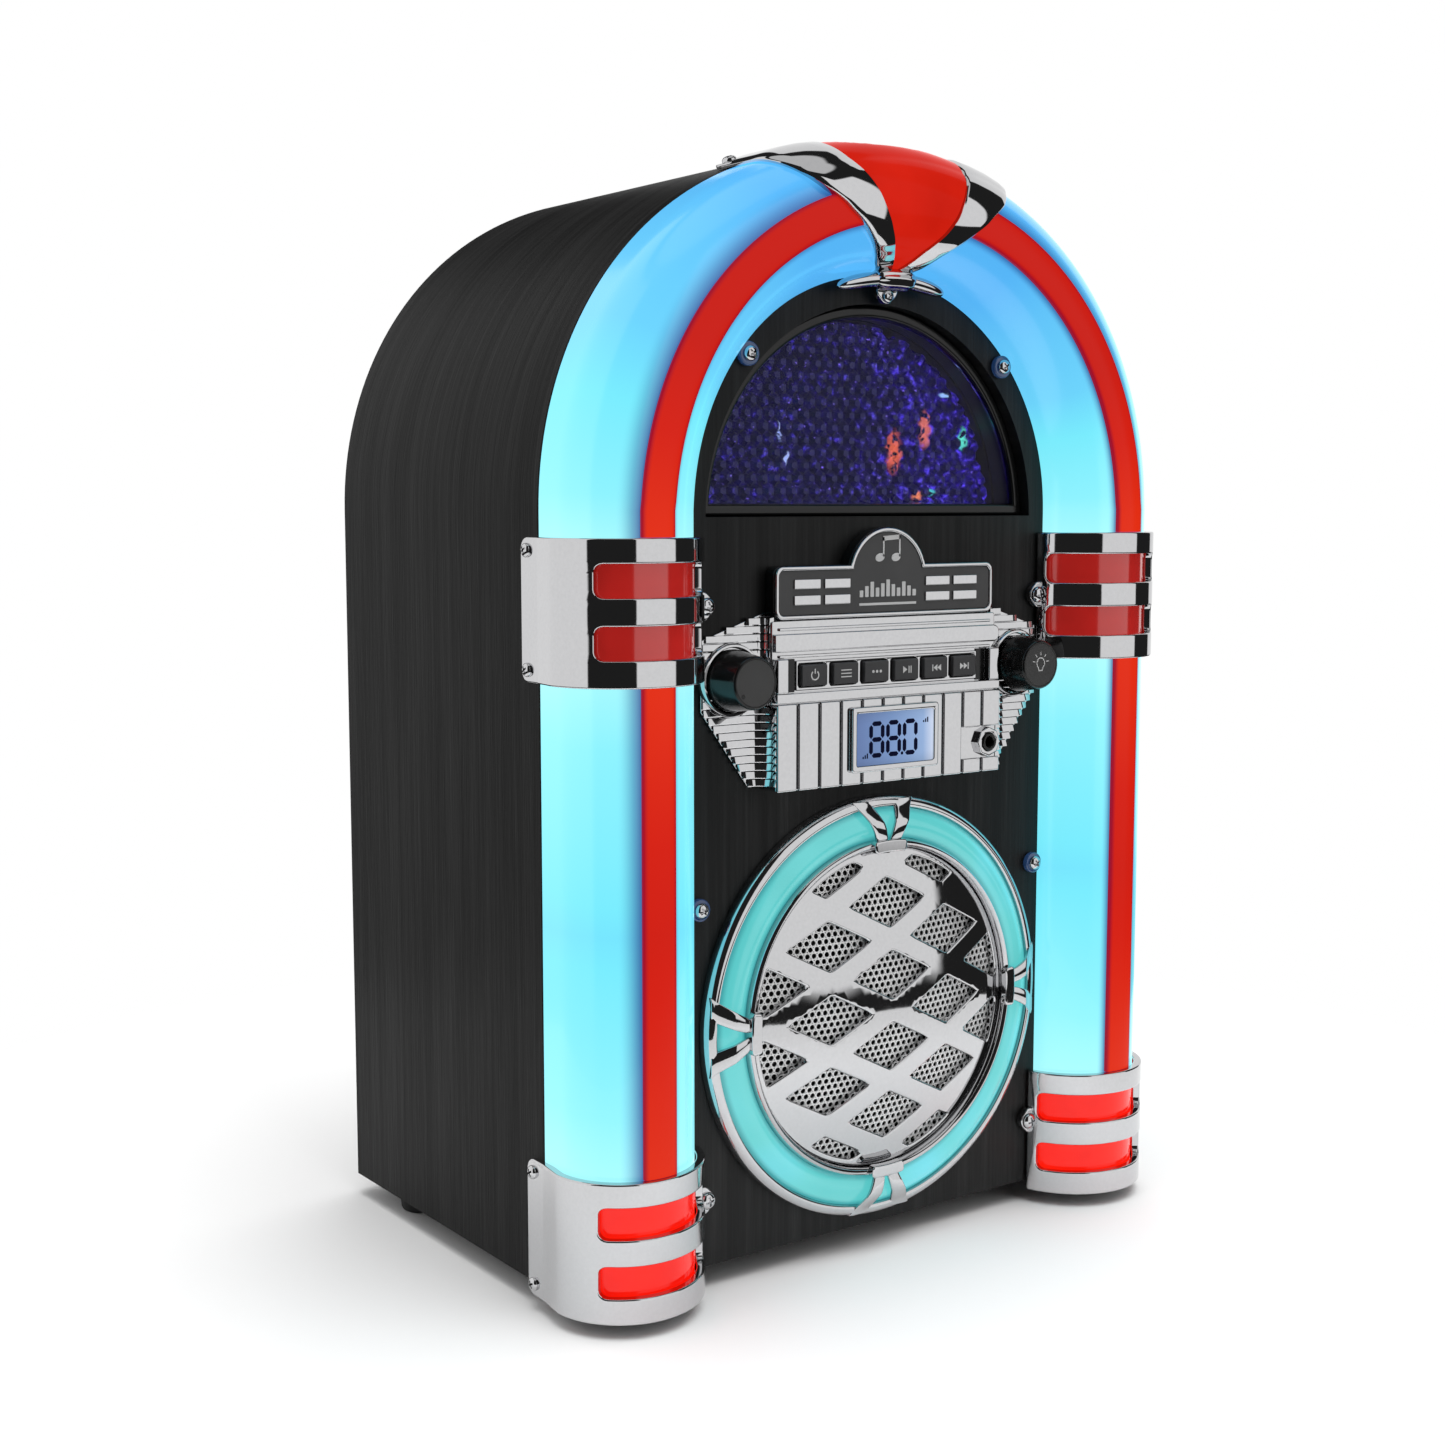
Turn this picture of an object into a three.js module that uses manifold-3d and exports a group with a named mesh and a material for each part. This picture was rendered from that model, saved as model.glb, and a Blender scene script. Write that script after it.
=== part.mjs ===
// Tabletop jukebox with an arched wooden cabinet, lit tube columns and a round speaker.
// Millimetres. +X is right seen from the front, the front faces -Y and +Z is up.
// Inside the assembly group, y = 0 is the front panel's face and z = 0 the cabinet's underside.
// The whole group is then moved so that its origin is the bottom centre of its box.

import * as THREE from 'three';
import { mergeVertices } from 'three/addons/utils/BufferGeometryUtils.js';
import Module from 'manifold-3d';

const wasm = await Module();
wasm.setup();

// ---------------------------------------------------------------- driving dimensions

const gap = 0.3; // air kept between touching pieces
const cabinet = { width: 245, springZ: 246, depth: 151.5, wall: 9, frontY: 14.5 };
const outerR = cabinet.width / 2;
const panel = { backY: 14.2, inset: 4 };
const rearPanel = { thickness: 4, inset: 3 };
const foot = { height: 8, topR: 8, bottomR: 7, x: 110, frontY: 19, rearY: 124 };

// The lit tube's section: two arcs that meet at the crest, then a straight skirt on the side.
// "forward" is -y, "inward" is the distance from the cabinet's side towards the middle.
const tube = { crestIn: 21.5, crestOut: 18.7, innerRise: 25, innerEdge: 47, skirtY: 14.2, wall: 2.2 };
const archLean = { most: 3.8, power: 0.6 }; // how far the crest moves inwards at the top of the arch
const archFlat = { most: 4.2, power: 4 }; // how far the arch is flattened at its top
const stripe = { halfWidth: 5.8, rise: 1.6 };

const cuff = { height: 44.8, clearance: 0.4, proud: 3.4, rearY: 22.5, slotY: -7.5, slotRound: 3 };
const cuffBands = { bottom: 8.4, slot: 10.2, middle: 8.4 };
const upperCuffZ = 193.2;
const lowerCuffZ = -3.2;
const cuffTuck = 2.6; // how far the tube runs on under a cuff
const cuffLug = { x: 72.1, radius: 4.6, thickness: 2.6, upperZ: 216, lowerZ: 23.5 };

const windowR = 66.1;
const windowZ = 243.3; // height of the centre of the window's arc
const windowBottomZ = 248.1;
const bezel = { width: 3.9, frontY: 3.6, backY: 13.8 };
const pane = { frontY: 5.4, backY: 7.4 };
const reflector = { frontY: 14.6, backY: 46, wall: 1.6 };

const crown = { rearY: 19, wedgeProud: 3.2, frameProud: 5.2 };

const controls = { halfWidth: 48.6, bottomZ: 155.6, stepZ: 183.9, topZ: 210.3, wingX: 73 };
const controlFront = { upper: -6, lower: -9.3, wing: -2.2, wall: 2 };
const buttons = { z: 192.8, pitch: 13.1, width: 10.6, height: 7, frontY: -8.4, backY: -2, travel: 1.2 };
const buttonNames = ['power', 'function', 'program', 'play', 'previous', 'next'];
const knob = { x: 62, z: 192.2, baseR: 10, faceR: 8.3, frontY: -15.6, shaftR: 3 };
const lcd = { x: 0, z: 170.6, width: 33.6, height: 17.4 };
const jack = { x: 42.8, z: 166 };
const sign = { halfWidth: 47.3, bottomZ: 210.7, topZ: 228.2, domeHalf: 16.2, domeTopZ: 240.4 };

const speaker = { z: 77.3, outerR: 73, lightOuterR: 68.6, lightInnerR: 58.4, grilleR: 52.4, holeR: 50 };
const vents = { count: 5, lowestZ: 200, pitch: 12, halfWidth: 35, height: 4 };
const inlet = { x: -70, z: 40, bodyR: 6, boreR: 3.3 };

// ---------------------------------------------------------------- colours

const finishes = {
  veneer: { color: 0x121212, roughness: 0.45, metalness: 0 },
  chrome: { color: 0xc8c8cc, roughness: 0.08, metalness: 1 },
  blueLens: { color: 0x6cc8f5, roughness: 0.25, metalness: 0 },
  redLens: { color: 0xd8200c, roughness: 0.25, metalness: 0 },
  turquoiseLens: { color: 0x63d8d0, roughness: 0.3, metalness: 0 },
  blackPlastic: { color: 0x161617, roughness: 0.35, metalness: 0 },
  greyPlastic: { color: 0x3a3b3d, roughness: 0.5, metalness: 0 },
  clearLens: { color: 0x8a90b0, roughness: 0.05, metalness: 0 },
  reflector: { color: 0x2a1fa0, roughness: 0.2, metalness: 0.3 },
  display: { color: 0x8fa6d8, roughness: 0.3, metalness: 0 },
  rubber: { color: 0x0c0c0c, roughness: 0.9, metalness: 0 },
  steel: { color: 0x9a9c9e, roughness: 0.35, metalness: 1 },
  board: { color: 0x1d5b33, roughness: 0.6, metalness: 0 },
  paper: { color: 0x1a1a1c, roughness: 0.9, metalness: 0 },
  fibreboard: { color: 0x2b2622, roughness: 0.8, metalness: 0 },
};

// ---------------------------------------------------------------- solids

function signedVolume(position, index) {
  const a = new THREE.Vector3();
  const b = new THREE.Vector3();
  const c = new THREE.Vector3();
  let volume = 0;
  for (let i = 0; i < index.length; i += 3) {
    a.fromBufferAttribute(position, index[i]);
    b.fromBufferAttribute(position, index[i + 1]);
    c.fromBufferAttribute(position, index[i + 2]);
    volume += a.dot(b.cross(c)) / 6;
  }
  return volume;
}

// A closed three.js geometry as a manifold solid with its faces pointing out.
function solid(geometry) {
  const bare = geometry.clone();
  bare.deleteAttribute('normal');
  bare.deleteAttribute('uv');
  const merged = mergeVertices(bare, 1e-4);
  const source = merged.index.array;
  const triangles = [];
  for (let i = 0; i < source.length; i += 3) {
    const [p, q, r] = [source[i], source[i + 1], source[i + 2]];
    if (p !== q && q !== r && r !== p) triangles.push(p, q, r);
  }
  if (signedVolume(merged.attributes.position, triangles) < 0) triangles.reverse();
  const vertProperties = new Float32Array(merged.attributes.position.array);
  const triVerts = new Uint32Array(triangles);
  return new wasm.Manifold(new wasm.Mesh({ numProp: 3, vertProperties, triVerts }));
}

function geometryOf(manifold) {
  const mesh = manifold.getMesh();
  const geometry = new THREE.BufferGeometry();
  geometry.setAttribute('position', new THREE.BufferAttribute(new Float32Array(mesh.vertProperties), 3));
  geometry.setIndex(new THREE.BufferAttribute(new Uint32Array(mesh.triVerts), 1));
  return geometry;
}

function join(...solids) {
  return solids.reduce((whole, piece) => whole.add(piece));
}

// The largest connected body of a solid.
function mainBody(body) {
  const pieces = body.decompose();
  return pieces.reduce((best, piece) => (piece.volume() > best.volume() ? piece : best));
}

function cut(body, ...tools) {
  return tools.reduce((rest, tool) => rest.subtract(tool), body);
}

// A box given by its lowest and highest corners.
function block(x0, x1, y0, y1, z0, z1) {
  const box = new THREE.BoxGeometry(x1 - x0, y1 - y0, z1 - z0);
  box.translate((x0 + x1) / 2, (y0 + y1) / 2, (z0 + z1) / 2);
  return solid(box);
}

// A shape drawn in X and Z, made solid from yFront to yBack.
function plate(shape, yFront, yBack, curveSegments = 24) {
  const geometry = new THREE.ExtrudeGeometry(shape, { depth: yBack - yFront, bevelEnabled: false, curveSegments });
  geometry.rotateX(Math.PI / 2);
  geometry.translate(0, yBack, 0);
  return solid(geometry);
}

// A shape drawn in X and Y, made solid from z0 to z1.
function prism(shape, z0, z1, curveSegments = 24) {
  const geometry = new THREE.ExtrudeGeometry(shape, { depth: z1 - z0, bevelEnabled: false, curveSegments });
  geometry.translate(0, 0, z0);
  return solid(geometry);
}

// A profile of [radius, y] points turned about a line along Y through (x, z).
function turned(profile, x, z, segments = 32) {
  const points = profile.map(([radius, y]) => new THREE.Vector2(radius, y));
  const geometry = new THREE.LatheGeometry(points, segments);
  geometry.translate(x, 0, z);
  return solid(geometry);
}

// A round rod along Y.
function rod(radius, x, z, yFront, yBack, segments = 20) {
  return turned([[0, yFront], [radius, yFront], [radius, yBack], [0, yBack]], x, z, segments);
}

function circle(radius, x = 0, z = 0) {
  const shape = new THREE.Shape();
  shape.absarc(x, z, radius, 0, Math.PI * 2, false);
  return shape;
}

function rectangle(x0, x1, z0, z1) {
  return new THREE.Shape([
    new THREE.Vector2(x0, z0),
    new THREE.Vector2(x1, z0),
    new THREE.Vector2(x1, z1),
    new THREE.Vector2(x0, z1),
  ]);
}

function roundedRectangle(x0, x1, z0, z1, r) {
  const shape = new THREE.Shape();
  shape.moveTo(x0 + r, z0);
  shape.lineTo(x1 - r, z0);
  shape.absarc(x1 - r, z0 + r, r, -Math.PI / 2, 0, false);
  shape.lineTo(x1, z1 - r);
  shape.absarc(x1 - r, z1 - r, r, 0, Math.PI / 2, false);
  shape.lineTo(x0 + r, z1);
  shape.absarc(x0 + r, z1 - r, r, Math.PI / 2, Math.PI, false);
  shape.lineTo(x0, z0 + r);
  shape.absarc(x0 + r, z0 + r, r, Math.PI, Math.PI * 1.5, false);
  return shape;
}

// The round-topped outline of the cabinet, drawn inset from its outer face.
function archOutline(inset, bottomZ) {
  const r = outerR - inset;
  const shape = new THREE.Shape();
  shape.moveTo(-r, bottomZ);
  shape.lineTo(r, bottomZ);
  shape.lineTo(r, cabinet.springZ);
  shape.absarc(0, cabinet.springZ, r, 0, Math.PI, false);
  return shape;
}

// The half-round outline of the window, grown outwards.
function windowOutline(grow) {
  const bottom = windowBottomZ - grow;
  const r = windowR + grow;
  const start = Math.asin((bottom - windowZ) / r);
  const shape = new THREE.Shape();
  shape.absarc(0, windowZ, r, start, Math.PI - start, false);
  return shape;
}

// The tube's outline in [forward, inward], offset outwards, from its rear edge to its inner edge.
function tubeOutline(offset, rearY, innerForward, arcSteps = 7) {
  const outerCentre = tube.crestOut - tube.crestIn;
  const innerCentre = tube.crestOut - tube.innerRise;
  const outerRadius = tube.crestIn + offset;
  const innerRadius = tube.innerRise + offset;
  const innerEnd = Math.acos((innerForward - innerCentre) / innerRadius);
  const points = [[-rearY, -offset]];
  for (let i = 0; i <= arcSteps; i += 1) {
    const angle = -Math.PI / 2 + (Math.PI / 2) * (i / arcSteps);
    points.push([outerCentre + outerRadius * Math.cos(angle), tube.crestIn + outerRadius * Math.sin(angle)]);
  }
  for (let i = 1; i <= arcSteps; i += 1) {
    const angle = innerEnd * (i / arcSteps);
    points.push([innerCentre + innerRadius * Math.cos(angle), tube.crestIn + innerRadius * Math.sin(angle)]);
  }
  return points;
}

// A wall between two offsets of the tube's outline.
function tubeBand(low, high, rearY, innerForward, arcSteps) {
  const outside = tubeOutline(high, rearY, innerForward, arcSteps);
  const inside = tubeOutline(low, rearY, innerForward, arcSteps).reverse();
  return [...outside, ...inside];
}

// A strip that follows the crest of the tube.
function crestBand(low, high, halfWidth, steps = 2) {
  const points = [];
  const edge = (offset, inward) => {
    const radius = (inward < tube.crestIn ? tube.crestIn : tube.innerRise) + offset;
    const centre = tube.crestOut - (inward < tube.crestIn ? tube.crestIn : tube.innerRise);
    return [centre + Math.sqrt(radius ** 2 - (inward - tube.crestIn) ** 2), inward];
  };
  for (let i = -steps; i <= steps; i += 1) points.push(edge(high, tube.crestIn + (halfWidth * i) / steps));
  for (let i = steps; i >= -steps; i -= 1) points.push(edge(low, tube.crestIn + (halfWidth * i) / steps));
  return points;
}

// A [forward, inward] outline as an upright piece on one side: side is -1 for left and 1 for right.
function upright(outline, side, z0, z1) {
  const points = outline.map(([forward, inward]) => new THREE.Vector2(side * (outerR - inward), -forward));
  return prism(new THREE.Shape(points), z0, z1);
}

// The line up one side, over the arch and down the other side, on the cabinet's outer face.
class ArchLine extends THREE.Curve {
  constructor(radius, springZ, bottomZ) {
    super();
    this.radius = radius;
    this.springZ = springZ;
    this.leg = springZ - bottomZ;
  }

  getPoint(t, target = new THREE.Vector3()) {
    const arc = Math.PI * this.radius;
    const along = t * (arc + 2 * this.leg);
    if (along < this.leg) return target.set(-this.radius, 0, this.springZ - this.leg + along);
    if (along > this.leg + arc) return target.set(this.radius, 0, this.springZ + this.leg + arc - along);
    const angle = Math.PI - (along - this.leg) / this.radius;
    return target.set(this.radius * Math.cos(angle), 0, this.springZ + this.radius * Math.sin(angle));
  }
}

// A [forward, inward] outline swept over the arch.
function archSweep(outline, bottomZ, steps) {
  const shape = new THREE.Shape(outline.map(([forward, inward]) => new THREE.Vector2(forward, inward)));
  const extrudePath = new ArchLine(outerR, cabinet.springZ, bottomZ);
  return solid(new THREE.ExtrudeGeometry(shape, { steps, extrudePath, bevelEnabled: false }));
}

// A [forward, inward] outline turned all the way round the arch's centre line.
function archRing(outline, segments) {
  const closed = [...outline, outline[0]];
  return turned(closed.map(([forward, inward]) => [outerR - inward, -forward]), 0, cabinet.springZ, segments);
}

// Moves the crest of an arch piece inwards, most at the top and not at all at the tube's two edges.
function leanInwards(body) {
  return body.warp((point) => {
    const rise = point[2] - cabinet.springZ;
    const radius = Math.hypot(point[0], rise);
    const inward = outerR - radius;
    if (rise <= 0 || inward <= 0 || inward >= tube.innerEdge) return;
    const outerShare = inward / tube.crestIn;
    const innerShare = (tube.innerEdge - inward) / (tube.innerEdge - tube.crestIn);
    const shift = archLean.most * (rise / radius) ** archLean.power * Math.min(outerShare, innerShare);
    point[0] *= (radius - shift) / radius;
    point[2] = cabinet.springZ + (rise * (radius - shift)) / radius;
  });
}

// Flattens the top of the arch: all of it at the cabinet's outer face, and none of it inside the tube's crest.
function flattenTop(body) {
  return body.warp((point) => {
    const rise = point[2] - cabinet.springZ;
    const radius = Math.hypot(point[0], rise);
    const share = Math.min(1, 1 - (outerR - radius) / tube.crestIn);
    if (rise <= 0 || share <= 0) return;
    const shift = archFlat.most * (rise / radius) ** archFlat.power * share;
    point[0] *= (radius - shift) / radius;
    point[2] = cabinet.springZ + (rise * (radius - shift)) / radius;
  });
}

// ---------------------------------------------------------------- the assembly

const assembly = new THREE.Group();

function add(name, body, finish) {
  const material = new THREE.MeshStandardMaterial(finishes[finish]);
  const mesh = new THREE.Mesh(geometryOf(flattenTop(body)), material);
  mesh.name = name;
  assembly.add(mesh);
}

const sides = [['left', -1], ['right', 1]];

// ---- cabinet

function cabinetShell() {
  const outline = archOutline(0, 0);
  outline.holes.push(archOutline(cabinet.wall, cabinet.wall));
  return plate(outline, cabinet.frontY, cabinet.depth, 24);
}

const controlOpening = { halfWidth: 47, bottomZ: 159, topZ: 206, wingHalf: 72, wingBottomZ: 183, wingTopZ: 202 };

function frontPanel() {
  const outline = archOutline(panel.inset, 0);
  outline.holes.push(windowOutline(bezel.width + gap));
  outline.holes.push(circle(speaker.holeR, 0, speaker.z));
  const board = plate(outline, 0, panel.backY, 24);
  const { halfWidth, bottomZ, topZ, wingHalf, wingBottomZ, wingTopZ } = controlOpening;
  const middle = block(-halfWidth, halfWidth, -1, panel.backY + 1, bottomZ, topZ);
  const wings = block(-wingHalf, wingHalf, -1, panel.backY + 1, wingBottomZ, wingTopZ);
  return cut(board, middle, wings);
}

function rearPanelBody() {
  const front = cabinet.depth + gap;
  const back = front + rearPanel.thickness;
  const board = plate(archOutline(rearPanel.inset, rearPanel.inset), front, back, 24);
  const holes = [rod(inlet.bodyR + gap, inlet.x, inlet.z, front - 1, back + 1)];
  for (let i = 0; i < vents.count; i += 1) {
    const z = vents.lowestZ + vents.pitch * i;
    const slot = roundedRectangle(-vents.halfWidth, vents.halfWidth, z, z + vents.height, vents.height / 2.1);
    holes.push(plate(slot, front - 1, back + 1, 3));
  }
  return cut(board, ...holes);
}

add('cabinet_shell', cabinetShell(), 'veneer');
add('front_panel', frontPanel(), 'veneer');
add('rear_panel', rearPanelBody(), 'fibreboard');

for (const [sideName, side] of sides) {
  for (const [endName, y] of [['front', foot.frontY], ['rear', foot.rearY]]) {
    const geometry = new THREE.CylinderGeometry(foot.topR, foot.bottomR, foot.height - gap, 20);
    geometry.rotateX(Math.PI / 2);
    geometry.translate(side * foot.x, y, -gap - (foot.height - gap) / 2);
    add(`foot_${endName}_${sideName}`, solid(geometry), 'rubber');
  }
}

// ---- lit tubes, stripes, inserts and cuffs

const upperCuffTop = upperCuffZ + cuff.height;
const lowerCuffTop = lowerCuffZ + cuff.height;
const lensSection = tubeBand(-tube.wall, 0, tube.skirtY, gap, 5);
const stripeSection = crestBand(gap, stripe.rise, stripe.halfWidth);
const archFoot = upperCuffTop - cuffTuck;
const archSteps = 26;

add('arch_lens', leanInwards(archSweep(lensSection, archFoot, archSteps)), 'blueLens');
add('arch_stripe', leanInwards(archSweep(stripeSection, upperCuffTop + gap, archSteps)), 'redLens');

function cuffBody(side, bottomZ, lugZ) {
  const topZ = bottomZ + cuff.height;
  const wall = upright(tubeBand(cuff.clearance, cuff.proud, cuff.rearY, gap, 6), side, bottomZ, topZ);
  const slots = [0, 1].map((i) => {
    const z0 = bottomZ + cuffBands.bottom + i * (cuffBands.slot + cuffBands.middle);
    const reach = 60;
    const shape = roundedRectangle(cuff.slotY - reach, cuff.slotY, z0, z0 + cuffBands.slot, cuff.slotRound);
    const geometry = new THREE.ExtrudeGeometry(shape, { depth: reach, bevelEnabled: false, curveSegments: 3 });
    geometry.rotateX(Math.PI / 2);
    geometry.rotateZ(Math.PI / 2);
    geometry.translate(side > 0 ? outerR + 6 - reach : -outerR - 6, 0, 0);
    return solid(geometry);
  });
  const lugBack = -gap;
  const lugFront = lugBack - cuffLug.thickness;
  const boss = rod(cuffLug.radius, side * cuffLug.x, lugZ, lugFront, lugBack, 12);
  const innerEdge = outerR - tubeOutline(cuff.clearance, 0, gap).at(-1)[1];
  const x0 = Math.min(side * cuffLug.x, side * (innerEdge - 1));
  const x1 = Math.max(side * cuffLug.x, side * (innerEdge - 1));
  const bridge = block(x0, x1, lugFront, lugBack, lugZ - cuffLug.radius, lugZ + cuffLug.radius);
  return join(cut(wall, ...slots), boss, bridge);
}

for (const [sideName, side] of sides) {
  const columnBottom = lowerCuffTop - cuffTuck;
  const columnTop = upperCuffZ + cuffTuck;
  add(`column_lens_${sideName}`, upright(lensSection, side, columnBottom, columnTop), 'blueLens');
  const stripeBody = upright(stripeSection, side, lowerCuffTop + gap, upperCuffZ - gap);
  add(`column_stripe_${sideName}`, stripeBody, 'redLens');
  add(`upper_insert_${sideName}`, upright(lensSection, side, columnTop + gap, archFoot - gap), 'redLens');
  add(`lower_insert_${sideName}`, upright(lensSection, side, lowerCuffZ + 0.6, columnBottom - gap), 'redLens');
  add(`upper_cuff_${sideName}`, cuffBody(side, upperCuffZ, cuffLug.upperZ), 'chrome');
  add(`lower_cuff_${sideName}`, cuffBody(side, lowerCuffZ, cuffLug.lowerZ), 'chrome');
}

// ---- crown: a red keystone held between two curved chrome horns

// The edges of a horn as [distance from the arch's centre, degrees from the top].
const hornInner = [[77.6, 0.5], [81, 3.2], [86, 5.6], [92, 8.2], [98, 10.4], [105, 13], [115, 16.2], [130, 18.6]];
const hornOuter = [[75, 5], [79, 7.6], [84, 10.2], [90, 13.2], [96, 16], [102, 18.6], [110, 21.6], [130, 25.4]];

function polar([r, degrees]) {
  const angle = (degrees * Math.PI) / 180;
  return new THREE.Vector2(r * Math.sin(angle), cabinet.springZ + r * Math.cos(angle));
}

function mirrored(points) {
  return points.map((p) => new THREE.Vector2(-p.x, p.y));
}

function crownPrism(points) {
  return plate(new THREE.Shape(points), -40, 60);
}

// The groove that leaves room for the stripe under the crown.
function stripeRoom() {
  return archRing(crestBand(-1, stripe.rise + gap, stripe.halfWidth + gap), 72);
}

function crownFrame() {
  const band = archRing(tubeBand(cuff.clearance, crown.frameProud, crown.rearY, gap, 6), 72);
  const right = [...hornInner.map(polar), ...hornOuter.map(polar).reverse()];
  const hornRight = crownPrism(right);
  const hornLeft = crownPrism(mirrored(right));
  const horns = join(band.intersect(hornRight), band.intersect(hornLeft));
  const clipInner = 70.2;
  const clipOuter = 76.3;
  const clipFront = -9;
  const clipBack = -2.3;
  const clipHalf = (17 * Math.PI) / 180;
  const clipShape = new THREE.Shape();
  clipShape.absarc(0, cabinet.springZ, clipOuter, Math.PI / 2 - clipHalf, Math.PI / 2 + clipHalf, false);
  clipShape.absarc(0, cabinet.springZ, clipInner + 2, Math.PI / 2 + clipHalf, Math.PI / 2 - clipHalf, true);
  const clip = plate(clipShape, clipFront, clipBack, 12);
  const neck = block(-6, 6, clipFront - 3, clipFront + 4, cabinet.springZ + 74.5, cabinet.springZ + 80);
  const inside = archRing(tubeBand(-9, gap, 4, gap, 6), 72);
  return mainBody(cut(join(horns, clip, neck), inside, stripeRoom()));
}

function crownWedge() {
  const band = archRing(tubeBand(cuff.clearance, crown.wedgeProud, crown.rearY - 2, gap, 6), 72);
  const slim = hornInner.slice(1).map(([r, degrees]) => polar([r, degrees - 0.25]));
  const tip = new THREE.Vector2(0, cabinet.springZ + 80.6);
  const outline = [tip, ...slim, ...mirrored(slim).reverse()];
  return mainBody(cut(band.intersect(crownPrism(outline)), stripeRoom()));
}

add('crown_frame', leanInwards(crownFrame()), 'chrome');
add('crown_wedge', leanInwards(crownWedge()), 'redLens');

// ---- window

function windowBezel() {
  const ring = windowOutline(bezel.width);
  ring.holes.push(windowOutline(0));
  return plate(ring, bezel.frontY, bezel.backY, 16);
}

function reflectorTray() {
  const outside = windowOutline(1.5);
  const tray = plate(outside, reflector.frontY, reflector.backY, 16);
  const inside = windowOutline(1.5 - reflector.wall);
  const room = plate(inside, reflector.frontY - 1, reflector.backY - reflector.wall, 16);
  return cut(tray, room);
}

add('window_bezel', windowBezel(), 'blackPlastic');
add('window_lens', plate(windowOutline(-gap), pane.frontY, pane.backY, 16), 'clearLens');
add('reflector', reflectorTray(), 'reflector');
add('window_light_board', block(-32, 32, 47, 48.6, 262, 292), 'board');

// ---- control panel

const wingBottomX = 54.4;
const ribs = { count: 8, depth: 1.4 };

// The wings' edge as [x, z] going down from the top.
const wingEdge = [[controls.halfWidth, 213], [controls.wingX, 205], [controls.wingX, 182.4], [wingBottomX, 157.7]];

function wingX(z) {
  for (let i = 0; i + 1 < wingEdge.length; i += 1) {
    const [xa, za] = wingEdge[i];
    const [xb, zb] = wingEdge[i + 1];
    if (z <= za && z >= zb) return xa + ((xb - xa) * (za - z)) / (za - zb);
  }
  return wingBottomX;
}

function controlPanel() {
  const { halfWidth, bottomZ, stepZ, topZ } = controls;
  const { upper, lower, wing, wall } = controlFront;
  const right = wingEdge.map(([x, z]) => new THREE.Vector2(x, z));
  const bottom = [new THREE.Vector2(halfWidth, bottomZ), new THREE.Vector2(-halfWidth, bottomZ)];
  const left = mirrored(right).reverse();
  let body = plate(new THREE.Shape([...right, ...bottom, ...left]), wing, -gap);
  body = join(body, block(-halfWidth, halfWidth, upper, -gap, stepZ - 1, topZ));
  body = join(body, block(-halfWidth, halfWidth, lower, -gap, bottomZ, stepZ));
  for (let i = 0; i < ribs.count; i += 1) {
    const z = 159 + i * 6.6;
    const reach = Math.min(wingX(z), wingX(z + 3)) - 0.8;
    const clearOfKnob = Math.abs(z + 1.5 - knob.z) < 13;
    const end = clearOfKnob ? halfWidth + 1 : reach;
    body = join(body, block(-end, end, wing - ribs.depth, wing + 0.5, z, z + 3));
  }
  const postInner = 43.4;
  for (const side of [-1, 1]) {
    const x0 = Math.min(side * postInner, side * 48.2);
    body = join(body, block(x0, x0 + 4.8, -9.6, upper + 0.5, 187.6, 198));
  }
  body = join(body, block(-halfWidth, halfWidth, -8.4, upper + 0.5, 184.2, 187.4));
  for (const side of [-1, 1]) {
    const ring = turned([[knob.baseR + 0.5, -2], [knob.baseR + 0.5, -3.6], [knob.baseR + 1.4, -3.2],
      [knob.baseR + 1.6, -2], [knob.baseR + 0.5, -2]], side * knob.x, knob.z, 32);
    body = join(body, ring);
  }
  const boss = turned([[0, lower + 0.2], [5, lower + 0.2], [4.6, lower - 1.1], [0, lower - 1.1]], jack.x, jack.z, 8);
  body = join(body, boss);

  const inner = halfWidth - wall;
  const upperRoom = block(-inner, inner, upper + wall, 1, stepZ - 3, topZ - wall);
  const lowerRoom = block(-inner, inner, lower + wall, 1, bottomZ + wall, stepZ - wall);
  body = cut(body, upperRoom, lowerRoom);
  for (let i = 0; i < buttonNames.length; i += 1) {
    const x = buttonX(i);
    const halfW = buttons.width / 2 + gap;
    const halfH = buttons.height / 2 + gap;
    body = cut(body, block(x - halfW, x + halfW, -12, 0, buttons.z - halfH, buttons.z + halfH));
  }
  const grooveWidth = 1.1;
  const slatPitch = 8.95;
  for (let i = 0; i < 10; i += 1) {
    const x = (i - 4.5) * slatPitch;
    if (Math.abs(x - jack.x) < 5.5) continue;
    body = cut(body, block(x - grooveWidth / 2, x + grooveWidth / 2, lower - 1, lower + 0.8, bottomZ + 1, stepZ - 0.8));
  }
  const lcdHole = block(
    lcd.x - lcd.width / 2 - 1.2, lcd.x + lcd.width / 2 + 1.2, -12, 0,
    lcd.z - lcd.height / 2 - 1.2, lcd.z + lcd.height / 2 + 1.2,
  );
  body = cut(body, lcdHole, rod(3.3, jack.x, jack.z, -12, 0));
  for (const side of [-1, 1]) body = cut(body, rod(5, side * knob.x, knob.z, -8, 1));
  return body;
}

function buttonX(i) {
  return (i - (buttonNames.length - 1) / 2) * buttons.pitch;
}

function buttonBody(i) {
  const x = buttonX(i);
  const cap = block(
    x - buttons.width / 2, x + buttons.width / 2, buttons.frontY, buttons.backY,
    buttons.z - buttons.height / 2, buttons.z + buttons.height / 2,
  );
  const flangeHalf = buttons.width / 2 + 0.9;
  const flangeFront = controlFront.upper + controlFront.wall + gap;
  const flange = block(
    x - flangeHalf, x + flangeHalf, flangeFront, flangeFront + 1,
    buttons.z - buttons.height / 2 - 1.2, buttons.z + buttons.height / 2 + 1.2,
  );
  return join(cap, flange);
}

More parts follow.
